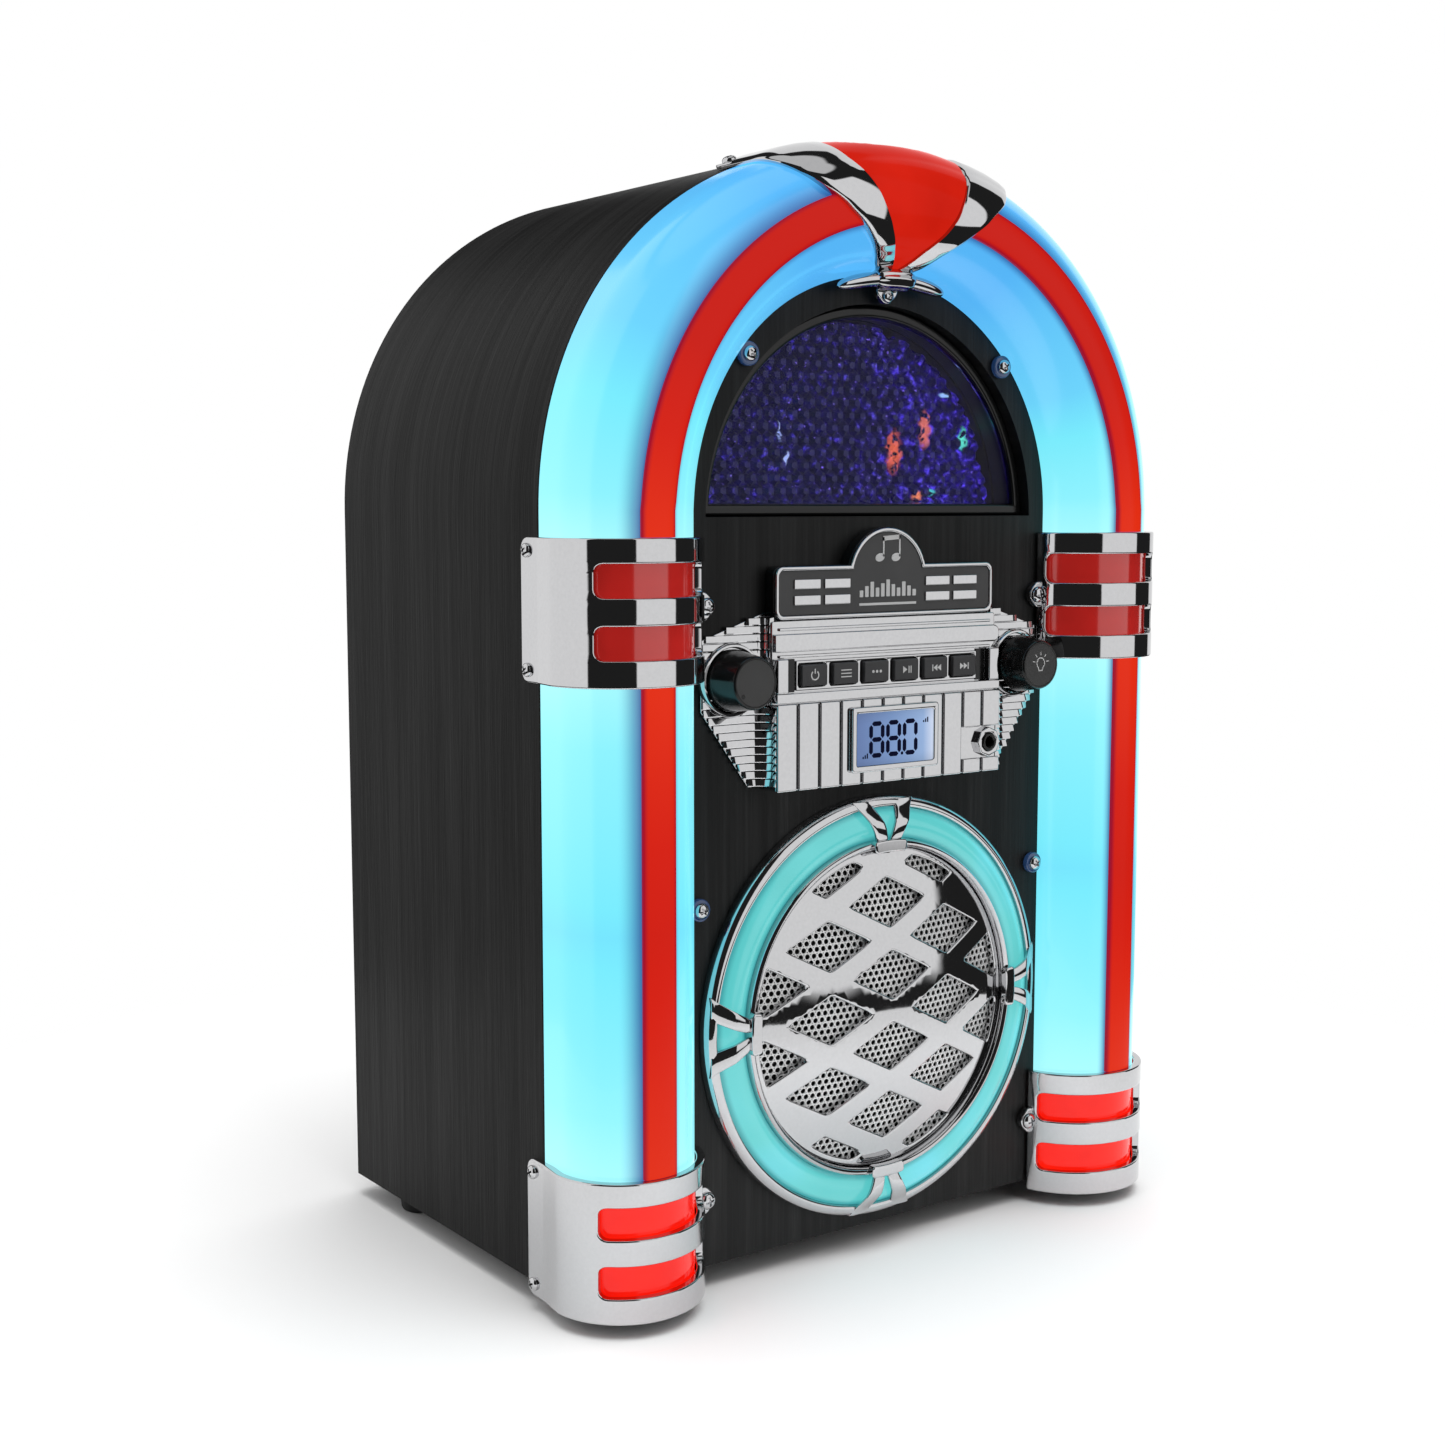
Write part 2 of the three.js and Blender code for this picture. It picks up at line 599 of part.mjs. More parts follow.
function signOutline(inset) {
  const half = sign.halfWidth - inset;
  const bottom = sign.bottomZ + inset;
  const top = sign.topZ - inset;
  const round = 3 - inset * 0.6;
  const rise = sign.domeTopZ - sign.topZ;
  const domeR = (sign.domeHalf ** 2 + rise ** 2) / (2 * rise);
  const domeZ = sign.domeTopZ - domeR;
  const r = domeR - inset;
  const start = Math.asin((top - domeZ) / r);
  const shape = new THREE.Shape();
  shape.moveTo(-half + round, bottom);
  shape.lineTo(half - round, bottom);
  shape.absarc(half - round, bottom + round, round, -Math.PI / 2, 0, false);
  shape.lineTo(half, top - round);
  shape.absarc(half - round, top - round, round, 0, Math.PI / 2, false);
  shape.absarc(0, domeZ, r, start, Math.PI - start, false);
  shape.lineTo(-half + round, top);
  shape.absarc(-half + round, top - round, round, Math.PI / 2, Math.PI, false);
  shape.lineTo(-half, bottom + round);
  shape.absarc(-half + round, bottom + round, round, Math.PI, Math.PI * 1.5, false);
  return shape;
}

const signFront = -5.2;
add('control_panel', controlPanel(), 'chrome');
const signPocket = plate(signOutline(1.5), signFront - 1, signFront + 1, 6);
const wingRoom = block(-60, 60, controlFront.wing - gap, 1, 200, 213 + gap);
add('sign_frame', cut(plate(signOutline(0), signFront, -gap, 6), signPocket, wingRoom), 'chrome');
add('sign_plate', plate(signOutline(1.5 + gap), signFront + 0.3, signFront + 1 - gap, 6), 'blackPlastic');
const legend = roundedRectangle(-48.4, 48.4, 200.9, 206.5, 1.2);
add('legend_strip', plate(legend, controlFront.upper - 1.2, controlFront.upper - gap, 4), 'chrome');

for (let i = 0; i < buttonNames.length; i += 1) add(`button_${buttonNames[i]}`, buttonBody(i), 'greyPlastic');

function lcdFrame() {
  const outside = roundedRectangle(lcd.x - 18.9, lcd.x + 18.9, lcd.z - 10.9, lcd.z + 10.9, 1);
  const hole = rectangle(lcd.x - lcd.width / 2, lcd.x + lcd.width / 2, lcd.z - lcd.height / 2, lcd.z + lcd.height / 2);
  outside.holes.push(hole);
  return plate(outside, controlFront.lower - 1.6, controlFront.lower - gap, 4);
}

add('lcd_frame', lcdFrame(), 'chrome');
add('lcd_module', block(
  lcd.x - lcd.width / 2 - 0.8, lcd.x + lcd.width / 2 + 0.8, controlFront.lower + 0.4, -2,
  lcd.z - lcd.height / 2 - 0.8, lcd.z + lcd.height / 2 + 0.8,
), 'display');

function controlBoard() {
  const wide = block(-70, 70, 1.2, 2.8, 184, 201);
  const tall = block(-43, 43, 1.2, 2.8, 160, 201);
  const holes = [-1, 1].map((side) => rod(3.8, side * knob.x, knob.z, 0, 4));
  return cut(join(wide, tall), ...holes);
}

add('control_board', controlBoard(), 'board');

function knobCap(rearY) {
  const bore = knob.shaftR + gap;
  const profile = [
    [0, knob.frontY], [knob.faceR - 0.5, knob.frontY], [knob.faceR, knob.frontY + 0.6], [knob.baseR, rearY],
    [bore, rearY], [bore, knob.frontY + 5], [0, knob.frontY + 5],
  ];
  return (side) => turned(profile, side * knob.x, knob.z, 32);
}

function potBody(side) {
  const body = block(side * knob.x - 7, side * knob.x + 7, 3.1, 11, knob.z - 7, knob.z + 7);
  return cut(body, rod(knob.shaftR + gap, side * knob.x, knob.z, 2, 9.5));
}

const shaftFront = knob.frontY + 5 + gap;
const lightsTravel = 1.5;
add('volume_knob', knobCap(-3)(-1), 'blackPlastic');
add('volume_shaft', rod(knob.shaftR, -knob.x, knob.z, shaftFront, 9, 16), 'steel');
add('volume_potentiometer', potBody(-1), 'steel');
add('lights_knob', knobCap(-3.9 - lightsTravel)(1), 'blackPlastic');
add('lights_shaft', rod(knob.shaftR, knob.x, knob.z, shaftFront, 9.2 - lightsTravel, 16), 'steel');
add('lights_switch', potBody(1), 'steel');
add('aux_jack', turned([
  [1.9, -10], [3, -10], [3, 0.9], [0, 0.9], [0, 0.2], [1.9, 0.2], [1.9, -10],
], jack.x, jack.z, 20), 'blackPlastic');

// ---- speaker

function speakerRing() {
  const { z, outerR: outer, lightOuterR, lightInnerR, grilleR } = speaker;
  const rim = [[lightOuterR + gap, -0.3], [outer, -0.3], [outer, -2], [outer - 1.4, -4.2], [lightOuterR + 1, -4.8],
    [lightOuterR + gap, -4.2], [lightOuterR + gap, -0.3]];
  const inner = [[grilleR + gap, -0.3], [lightInnerR - gap, -0.3], [lightInnerR - gap, -5.6], [lightInnerR - 1.6, -7.4],
    [grilleR + 1.4, -7], [grilleR + gap, -5.4], [grilleR + gap, -0.3]];
  let body = turned(rim, 0, z, 40);
  const hub = turned(inner, 0, z, 40);
  body = join(body, hub);
  const clipFront = -8.6;
  const clipBack = -6.6;
  for (let i = 0; i < 4; i += 1) {
    const turn = (i * Math.PI) / 2;
    const middle = new THREE.Vector2(Math.sin(turn), Math.cos(turn));
    const across = new THREE.Vector2(Math.cos(turn), -Math.sin(turn));
    const at = (r, s) => new THREE.Vector2(middle.x * r + across.x * s, z + middle.y * r + across.y * s);
    for (const side of [-1, 1]) {
      const leg = [at(lightInnerR - 3, 0.5 * side), at(lightInnerR - 3, 6 * side), at(lightInnerR + 2, 6 * side),
        at(outer - 1.5, 12 * side), at(outer - 1.5, 6.5 * side), at(lightInnerR + 1, 1.5 * side)];
      body = join(body, plate(new THREE.Shape(leg), clipFront, clipBack));
      const post = [at(lightInnerR - 3, 0.5 * side), at(lightInnerR - 3, 6 * side),
        at(lightInnerR - 1, 6 * side), at(lightInnerR - 1, 0.5 * side)];
      body = join(body, plate(new THREE.Shape(post), clipBack - 0.5, -2));
      const heel = [at(outer - 3.8, 11.2 * side), at(outer - 1.5, 12 * side), at(outer - 1.5, 6.5 * side),
        at(outer - 3.8, 5.6 * side)];
      body = join(body, plate(new THREE.Shape(heel), clipBack - 0.5, -2));
    }
  }
  return body;
}

function ringLight() {
  const { z, lightOuterR, lightInnerR } = speaker;
  const middle = (lightOuterR + lightInnerR) / 2;
  return turned([[lightInnerR, -0.3], [lightOuterR, -0.3], [lightOuterR, -3.6], [middle + 2.5, -5.6],
    [middle - 2.5, -5.8], [lightInnerR, -4.6], [lightInnerR, -0.3]], 0, z, 40);
}

const grille = { edgeY: -4.4, crownY: -11, wall: 2 };
const diamond = { halfWidth: 16.6, halfHeight: 8.4, pitchX: 25.5, pitchZ: 25.6 };

function domeProfile(shift, steps = 5) {
  const points = [];
  for (let i = 0; i <= steps; i += 1) {
    const r = (speaker.grilleR * i) / steps;
    const y = grille.crownY + (grille.edgeY - grille.crownY) * (r / speaker.grilleR) ** 2;
    points.push([r, y + shift]);
  }
  return points;
}

// The diamonds stand in columns, and every other column is moved up by half a step.
function diamondCentres() {
  const centres = [];
  for (let column = -2; column <= 2; column += 1) {
    const shift = column % 2 === 0 ? diamond.pitchZ / 2 : 0;
    for (let row = -3; row <= 2; row += 1) {
      const x = column * diamond.pitchX;
      const z = row * diamond.pitchZ + shift;
      if (Math.hypot(x, z) < speaker.grilleR - 4) centres.push([x, z]);
    }
  }
  return centres;
}

function speakerGrille() {
  let body = turned([...domeProfile(0), ...domeProfile(grille.wall).reverse()], 0, speaker.z, 40);
  const keep = turned([[0, -20], [speaker.grilleR - 2.4, -20], [speaker.grilleR - 2.4, 5], [0, 5]], 0, speaker.z, 40);
  for (const [x, z] of diamondCentres()) {
    const shape = new THREE.Shape([
      new THREE.Vector2(x - diamond.halfWidth, speaker.z + z),
      new THREE.Vector2(x, speaker.z + z - diamond.halfHeight),
      new THREE.Vector2(x + diamond.halfWidth, speaker.z + z),
      new THREE.Vector2(x, speaker.z + z + diamond.halfHeight),
    ]);
    body = cut(body, plate(shape, -20, 5).intersect(keep));
  }
  return body;
}

function grilleMesh() {
  const front = domeProfile(grille.wall + gap + 0.4, 3);
  const back = domeProfile(grille.wall + gap + 1.2, 3).reverse();
  return turned([...front, ...back], 0, speaker.z, 24);
}

add('speaker_ring', speakerRing(), 'chrome');
add('ring_light', ringLight(), 'turquoiseLens');
add('speaker_grille', speakerGrille(), 'chrome');
add('grille_mesh', grilleMesh(), 'steel');

const basket = { frontY: 14.5, flangeR: 58, neckR: 24, neckY: 40, magnetR: 32, backY: 58 };
add('speaker_basket', turned([
  [basket.neckR, basket.neckY], [basket.magnetR, basket.neckY], [basket.magnetR, basket.neckY + 3],
  [46, 20], [basket.flangeR, 17], [basket.flangeR, basket.frontY], [48, basket.frontY], [basket.neckR, basket.neckY],
], 0, speaker.z, 24), 'steel');
add('speaker_cone', turned([
  [0, 24], [12, 20], [14, 28], [46, 13], [48, 14], [47, 15.2], [15, 31], [11, 29], [0, 31],
], 0, speaker.z, 24), 'paper');
add('speaker_magnet', turned([
  [0, basket.neckY + 3.3], [30, basket.neckY + 3.3], [30, basket.backY], [0, basket.backY],
], 0, speaker.z, 32), 'steel');

// ---- inside and back

function archStrip() {
  const shape = new THREE.Shape();
  const stripR = outerR - tube.crestIn;
  shape.absarc(0, cabinet.springZ, stripR + 4, 0, Math.PI, false);
  shape.absarc(0, cabinet.springZ, stripR - 4, Math.PI, 0, true);
  return plate(shape, -1.9, -gap, 16);
}

add('arch_light_strip', archStrip(), 'board');
for (const [sideName, side] of sides) {
  const x = side * (outerR - tube.crestIn);
  add(`column_light_strip_${sideName}`, block(x - 4, x + 4, -1.9, -gap, 4, 232), 'board');
}
add('main_board', block(-55, 55, 138, 139.6, 90, 170), 'board');

function dcInlet() {
  const back = cabinet.depth + rearPanel.thickness + gap;
  return turned([
    [inlet.boreR, back + 1.4], [inlet.boreR, back - 9], [0, back - 9], [0, back - 11], [inlet.bodyR, back - 11],
    [inlet.bodyR, back + gap], [inlet.bodyR + 1.6, back + gap], [inlet.bodyR + 1.6, back + 1.4],
    [inlet.boreR, back + 1.4],
  ], inlet.x, inlet.z, 24);
}

add('dc_inlet', dcInlet(), 'blackPlastic');

// ---------------------------------------------------------------- origin at the bottom centre of the box

const jukebox = new THREE.Group();
jukebox.add(assembly);
const bounds = new THREE.Box3().setFromObject(assembly);
const middle = bounds.getCenter(new THREE.Vector3());
assembly.position.set(-middle.x, -middle.y, -bounds.min.z);

export default jukebox;
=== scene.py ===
"""Looks of a tabletop jukebox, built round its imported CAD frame. Metres, +X right, the front faces -Y, +Z up.

Shapes are drawn in the jukebox's own millimetres: x from its middle, y from the front panel's face (negative
is towards the viewer) and z from the cabinet's underside. place() turns them into the frame's metres.
"""

import math

import bmesh
import bpy
from mathutils import Matrix, Vector
from mathutils.geometry import delaunay_2d_cdt


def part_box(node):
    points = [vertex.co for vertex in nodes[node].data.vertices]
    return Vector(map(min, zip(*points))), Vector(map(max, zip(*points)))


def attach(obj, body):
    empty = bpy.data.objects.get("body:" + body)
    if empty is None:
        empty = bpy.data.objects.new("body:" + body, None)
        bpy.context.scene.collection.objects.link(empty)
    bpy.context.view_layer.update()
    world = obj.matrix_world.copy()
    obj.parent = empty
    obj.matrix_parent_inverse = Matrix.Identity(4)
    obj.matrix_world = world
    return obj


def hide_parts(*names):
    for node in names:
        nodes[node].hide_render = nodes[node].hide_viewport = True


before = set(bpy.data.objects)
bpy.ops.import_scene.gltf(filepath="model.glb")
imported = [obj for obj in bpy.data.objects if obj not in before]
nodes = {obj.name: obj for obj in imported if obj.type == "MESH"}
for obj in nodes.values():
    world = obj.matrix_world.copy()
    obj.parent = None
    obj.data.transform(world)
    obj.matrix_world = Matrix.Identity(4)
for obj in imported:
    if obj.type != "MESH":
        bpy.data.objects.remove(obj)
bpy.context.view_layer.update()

# ---------------- driving sizes

MM = 0.001
ORIGIN = Vector((0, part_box("front_panel")[0].y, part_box("cabinet_shell")[0].z))
SIDES = ((-1, "left"), (1, "right"))


def box_mm(node):
    """The corners of a node's box in the jukebox's own millimetres."""
    return [(corner - ORIGIN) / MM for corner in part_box(node)]


def middle_mm(node):
    return sum(box_mm(node), Vector()) / 2


def place(point):
    """A point in the jukebox's own millimetres as a point of the frame."""
    return ORIGIN + Vector(point) * MM


SHELL_LOW, SHELL_HIGH = box_mm("cabinet_shell")
SHELL_FRONT, SHELL_BACK = SHELL_LOW.y, SHELL_HIGH.y
R = SHELL_HIGH.x  # half of the cabinet's width, and the radius of its arch
ARCH_FLAT = 4.2  # how far the arch is flattened at its top
SPRING = SHELL_HIGH.z - R + ARCH_FLAT  # height at which the arch begins

# The tube's section is two arcs that meet at the crest. "Forward" is -y, "inward" is away from the side.
CREST_IN = 21.5  # from the cabinet's side to the crest, and the outer arc's radius
CREST_OUT = 18.7  # how far the crest stands forward
INNER_RISE = 25.0  # the inner arc's radius
INNER_EDGE = 47.0  # from the cabinet's side to the end of the inner arc
CREST_LEAN = 3.8  # how far the crest moves inwards at the top of the arch
TUBE_WALL = 2.2
STRIPE_HALF = 5.8
STRIPE_RISE = 1.6

UPPER_CUFF_Z, UPPER_CUFF_TOP = (corner.z for corner in box_mm("upper_cuff_left"))
CUFF_HEIGHT = UPPER_CUFF_TOP - UPPER_CUFF_Z
LOWER_CUFF_Z = box_mm("lower_cuff_left")[0].z
CUFF_PROUD = 3.4  # how far a cuff stands off the tube
CUFF_WALL = 2.9
CUFF_REAR = 22.5  # y of a cuff's rear edge
CUFF_SLOTS = ((8.4, 18.6), (27.0, 37.2))  # heights above the cuff's lower edge
CUFF_TUCK = 2.6  # how far the tubes run into a cuff
FLANGE_SINK = 1.6  # the flange's screw heads stand in this dip, inside the cuff's width

BEZEL_LOW, BEZEL_HIGH = box_mm("window_bezel")
BEZEL = 3.9  # width of the window's rim
WINDOW_R = BEZEL_HIGH.x - BEZEL
WINDOW_Z = BEZEL_HIGH.z - BEZEL_HIGH.x
WINDOW_BOTTOM = BEZEL_LOW.z + BEZEL
ON_PANEL = -0.3  # back of the pieces that stand on the front panel
SPEAKER_Z = middle_mm("speaker_grille").z
KNOB = middle_mm("volume_knob")

# ---------------- node trees


class Sheet:
    """A node tree with short calls for the nodes used here."""

    def __init__(self, tree):
        self.tree = tree
        tree.nodes.clear()

    def feed(self, socket, value):
        """Links an output to a socket, or sets a number, a colour (a tuple) or a list of numbers on it."""
        if isinstance(value, bpy.types.NodeSocket):
            self.tree.links.new(value, socket)
        else:
            socket.default_value = (*value, 1) if isinstance(value, tuple) else value

    def add(self, kind, inputs=(), **settings):
        """Adds a node and feeds its inputs. Gives its outputs."""
        made = self.tree.nodes.new(kind)
        for key, value in settings.items():
            setattr(made, key, value)
        for key, value in dict(inputs).items():
            self.feed(made.inputs[key], value)
        return made.outputs

    def math(self, operation, a, b=0.0):
        return self.add("ShaderNodeMath", {0: a, 1: b}, operation=operation)[0]

    def coords(self, kind):
        return self.add("ShaderNodeTexCoord")[kind]

    def middle_distance(self, value):
        return self.math("ABSOLUTE", self.math("SUBTRACT", value, 0.5))

    def squared_length(self, a, b):
        return self.math("ADD", self.math("MULTIPLY", a, a), self.math("MULTIPLY", b, b))

    def split(self, vector):
        return self.add("ShaderNodeSeparateXYZ", {0: vector})

    def stretch(self, vector, scale):
        return self.add("ShaderNodeMapping", {"Vector": vector, "Scale": list(scale)})[0]

    def noise(self, vector, scale, detail, roughness=0.55):
        inputs = {"Vector": vector, "Scale": scale, "Detail": detail, "Roughness": roughness}
        return self.add("ShaderNodeTexNoise", inputs)[0]

    def cloud(self, scale, detail=2.0, roughness=0.55):
        """Noise that is fixed to the object."""
        return self.noise(self.coords("Object"), scale, detail, roughness)

    def ramp(self, factor, stops):
        """A colour ramp over [(position, colour or grey), ...]."""
        output = self.add("ShaderNodeValToRGB", {0: factor})[0]
        elements = output.node.color_ramp.elements
        while len(elements) < len(stops):
            elements.new(0.5)
        for element, (position, colour) in zip(elements, stops):
            element.position = position
            rgb = (colour,) * 3 if isinstance(colour, (int, float)) else colour
            element.color = (*rgb, 1)
        return output

    def blend(self, factor, a, b, mode="MIX"):
        return self.add("ShaderNodeMix", {0: factor, 6: a, 7: b}, data_type="RGBA", blend_type=mode)[2]

    def scaled(self, value, low, high):
        """A 0 to 1 value moved to low to high."""
        return self.add("ShaderNodeMapRange", {"Value": value, "To Min": low, "To Max": high})[0]

    def step(self, value, low, high):
        """0 at low, 1 at high and smooth between them."""
        inputs = {"Value": value, "From Min": low, "From Max": high}
        return self.add("ShaderNodeMapRange", inputs, interpolation_type="SMOOTHSTEP")[0]

    def bump(self, height, strength, distance):
        return self.add("ShaderNodeBump", {"Height": height, "Strength": strength, "Distance": distance})[0]


def material(name, slot, paint, **sockets):
    """A Principled material. paint(sheet) returns the sockets that vary; the others are plain values."""
    made = bpy.data.materials.new(name)
    made.use_nodes = True
    sheet = Sheet(made.node_tree)
    shader = sheet.add("ShaderNodeBsdfPrincipled", {**sockets, **paint(sheet)})
    sheet.add("ShaderNodeOutputMaterial", {0: shader[0]})
    return made


# ---------------- materials


def veneer_paint(across, along, coords):
    """Black wood grain: across and along are the axes of the coordinates that cross and follow the grain."""

    def paint(sheet):
        def grain(fine, coarse, detail, roughness):
            scale = [0.0, 0.0, 0.0]
            scale[across], scale[along] = fine, coarse
            return sheet.noise(sheet.stretch(sheet.coords(coords), scale), 1.0, detail, roughness)

        figure = grain(70, 3.5, 5.0, 0.6)
        streaks = grain(420, 9, 6.0, 0.7)
        pores = grain(1900, 60, 2.0, 0.5)
        tone = sheet.math("ADD", sheet.math("MULTIPLY", figure, 0.45), sheet.math("MULTIPLY", streaks, 0.55))
        height = sheet.math("ADD", sheet.math("MULTIPLY", streaks, 0.6), sheet.math("MULTIPLY", pores, 0.5))
        return {
            "Base Color": sheet.ramp(tone, [(0.35, 0.003), (0.48, 0.008), (0.6, 0.016), (0.7, 0.034)]),
            "Roughness": sheet.scaled(tone, 0.5, 0.34),
            "Normal": sheet.bump(height, 0.35, 0.0004),
        }

    return paint


def chrome_paint(sheet):
    ripple = sheet.cloud(55)
    film = sheet.cloud(900, 3.0)
    return {
        "Roughness": sheet.scaled(film, 0.03, 0.05),
        "Normal": sheet.bump(ripple, 0.012, 0.0006),
        "Base Color": sheet.ramp(film, [(0.3, (0.56, 0.56, 0.57)), (0.7, (0.59, 0.59, 0.6))]),
    }


def plastic_paint(low, high, roughness, grain=1600, depth=0.00006):
    """Moulded plastic with a fine skin and slightly uneven tone."""

    def paint(sheet):
        skin = sheet.cloud(grain, 3.0)
        cloud = sheet.cloud(40, 3.0)
        return {
            "Base Color": sheet.ramp(cloud, [(0.3, low), (0.7, high)]),
            "Roughness": sheet.scaled(cloud, roughness * 0.85, roughness * 1.15),
            "Normal": sheet.bump(skin, 0.25, depth),
        }

    return paint


BLUE_ALONG = (
    (0.0, (0.4, 0.96, 1.0)),
    (0.12, (0.27, 0.88, 0.97)),
    (0.34, (0.19, 0.82, 0.95)),
    (0.5, (0.15, 0.64, 0.94)),
    (0.78, (0.12, 0.54, 0.92)),
    (1.0, (0.09, 0.45, 0.9)),
)
# Painted shade: the deep blue that the lens darkens to on both sides of the red line.
BLUE_STRIPE_SHADE = (0.02, 0.07, 0.3)


def blue_lens_paint(sheet):
    """Lit blue moulding, darkened beside the red line with painted shade. U is the distance from the crest and
    V that from the nearer cuff, in decimetres.
    """
    u, v, _ = sheet.split(sheet.coords("UV"))
    cloud = sheet.cloud(14)
    reach = sheet.math("ADD", sheet.math("MULTIPLY", v, 0.5), sheet.scaled(cloud, -0.05, 0.05))
    # Painted shade: 1 away from the red line, falling to 0 beside it on both sides.
    lit = sheet.math("ADD", sheet.step(u, 0.46, 0.365), sheet.step(u, 0.545, 0.59))
    colour = sheet.blend(lit, BLUE_STRIPE_SHADE, sheet.ramp(reach, BLUE_ALONG))
    return {"Emission Color": colour, "Roughness": sheet.scaled(cloud, 0.16, 0.24)}


def red_glow_paint(sheet):
    """Lit red strip, brighter near its ends, where the lamps are, with painted shade darkening its side edges
    to violet.
    """
    u, v, _ = sheet.split(sheet.coords("UV"))
    cloud = sheet.cloud(22)
    reach = sheet.math("ADD", v, sheet.scaled(cloud, -0.12, 0.12))
    along = sheet.ramp(reach, [(0.0, (0.76, 0.028, 0.006)), (0.5, (0.66, 0.014, 0.005)),
                               (1.0, (0.58, 0.012, 0.006))])
    # Painted shade: the strip's two side edges darken to deep violet.
    body = sheet.step(sheet.middle_distance(u), 0.065, 0.04)
    return {
        "Emission Color": sheet.blend(body, (0.22, 0.0, 0.03), along),
        "Roughness": sheet.scaled(cloud, 0.2, 0.3),
    }


def even_glow_paint(low, high):
    """Lit plastic with a slightly uneven tone."""

    def paint(sheet):
        cloud = sheet.cloud(45)
        return {
            "Emission Color": sheet.ramp(cloud, [(0.3, low), (0.7, high)]),
            "Roughness": sheet.scaled(cloud, 0.1, 0.18),
        }

    return paint


def turquoise_paint(sheet):
    """Lit ring, darker at its edges. U runs across it."""
    cloud = sheet.cloud(18)
    across = sheet.middle_distance(sheet.split(sheet.coords("UV"))[0])
    colour = sheet.ramp(cloud, [(0.34, (0.08, 0.48, 0.47)), (0.52, (0.11, 0.56, 0.56)),
                                (0.68, (0.14, 0.64, 0.74))])
    return {
        "Emission Color": sheet.blend(sheet.step(across, 0.5, 0.3), (0.04, 0.3, 0.32), colour),
        "Roughness": sheet.scaled(cloud, 0.2, 0.3),
    }


def reflector_paint(sheet):
    """Prismatic reflector painted with light: a deep blue glow that is bright on its right and dark on its
    left, painted sparkles, and a few painted warm and green reflections of lamps low on its right.
    """
    cells, fine = sheet.cloud(330), sheet.cloud(900, 3.0)
    x, _, z = sheet.split(sheet.coords("Object"))
    # Painted light and shade: a bright blue glow on the right side, a dark side on the left.
    side = sheet.step(x, -0.01, 0.06)
    blue = sheet.ramp(cells, [(0.44, (0.002, 0.001, 0.025)), (0.58, (0.014, 0.006, 0.17)),
                              (0.7, (0.1, 0.05, 0.95))])
    painted_dark_side = sheet.ramp(cells, [(0.45, (0.003, 0.003, 0.01)), (0.62, (0.008, 0.006, 0.05)),
                               (0.75, (0.05, 0.03, 0.5))])
    colour = sheet.blend(side, painted_dark_side, blue)
    # Painted sparkles: small bright blue highlights.
    sparks = sheet.step(fine, 0.66, 0.72)
    colour = sheet.blend(sparks, colour, (0.2, 0.12, 1.0))
    # Painted reflections of coloured lamps, one patch for each glint.
    for (gx, gz), (rx, rz), tint in GLINTS:
        dx = sheet.math("DIVIDE", sheet.math("SUBTRACT", x, gx), rx)
        dz = sheet.math("DIVIDE", sheet.math("SUBTRACT", z, gz), rz)
        near = sheet.step(sheet.squared_length(dx, dz), 1.0, 0.1)
        near = sheet.math("MULTIPLY", near, sheet.step(cells, 0.4, 0.5))
        colour = sheet.blend(near, colour, tint)
    return {"Emission Color": colour, "Roughness": sheet.scaled(fine, 0.12, 0.3)}


def glint(x, z, width, height, tint):
    """A painted reflection of a coloured lamp on the reflector, given in the jukebox's millimetres."""
    at = place((x, 0, z))
    return (at.x, at.z), (width * MM, height * MM), tint


# Painted reflections of coloured lamps on the reflector: middle, half sizes and tint.
GLINTS = [
    glint(22, 266, 4, 9, (0.75, 0.13, 0.06)),
    glint(36, 274, 3, 8, (0.7, 0.16, 0.12)),
    glint(54, 271, 2.2, 5, (0.12, 0.8, 0.6)),
    glint(33, 251, 3, 2, (0.9, 0.25, 0.1)),
    glint(39, 252, 2, 1.6, (0.1, 0.7, 0.7)),
    glint(45, 286, 4, 1.0, (0.35, 0.6, 1.0)),
    glint(-28, 272, 1.0, 4, (0.35, 0.45, 0.9)),
    glint(-25, 263, 1.0, 3, (0.4, 0.5, 0.9)),
]


def display_paint(sheet):
    x, _, z = sheet.split(sheet.coords("Object"))
    low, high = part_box("lcd_module")
    wide = sheet.math("DIVIDE", sheet.math("SUBTRACT", x, low.x), high.x - low.x)
    tall = sheet.math("DIVIDE", sheet.math("SUBTRACT", z, low.z), high.z - low.z)
    glow = sheet.ramp(wide, [(0.0, (0.07, 0.13, 0.32)), (0.45, (0.14, 0.25, 0.5)), (0.85, (0.26, 0.4, 0.66)),
                             (0.97, (0.6, 0.68, 0.84))])
    shade = sheet.ramp(tall, [(0.0, 0.72), (0.2, 0.95), (0.75, 1.0), (1.0, 0.8)])
    return {"Emission Color": sheet.blend(1.0, glow, shade, "MULTIPLY")}


def steel_paint(sheet):
    brushed = sheet.noise(sheet.stretch(sheet.coords("Object"), (300, 300, 40)), 1.0, 4.0)
    return {
        "Base Color": sheet.ramp(brushed, [(0.3, 0.34), (0.7, 0.55)]),
        "Roughness": sheet.scaled(brushed, 0.25, 0.42),
    }


def board_paint(sheet):
    patches = sheet.cloud(260)
    return {"Base Color": sheet.ramp(patches, [(0.42, (0.01, 0.09, 0.03)), (0.6, (0.02, 0.16, 0.06))])}


def fibre_paint(sheet):
    flecks = sheet.cloud(700, 5.0, 0.7)
    cloud = sheet.cloud(25, 3.0)
    return {
        "Base Color": sheet.ramp(flecks, [(0.3, (0.012, 0.011, 0.01)), (0.7, (0.03, 0.027, 0.024))]),
        "Roughness": sheet.scaled(cloud, 0.6, 0.8),
        "Normal": sheet.bump(flecks, 0.3, 0.0003),
    }


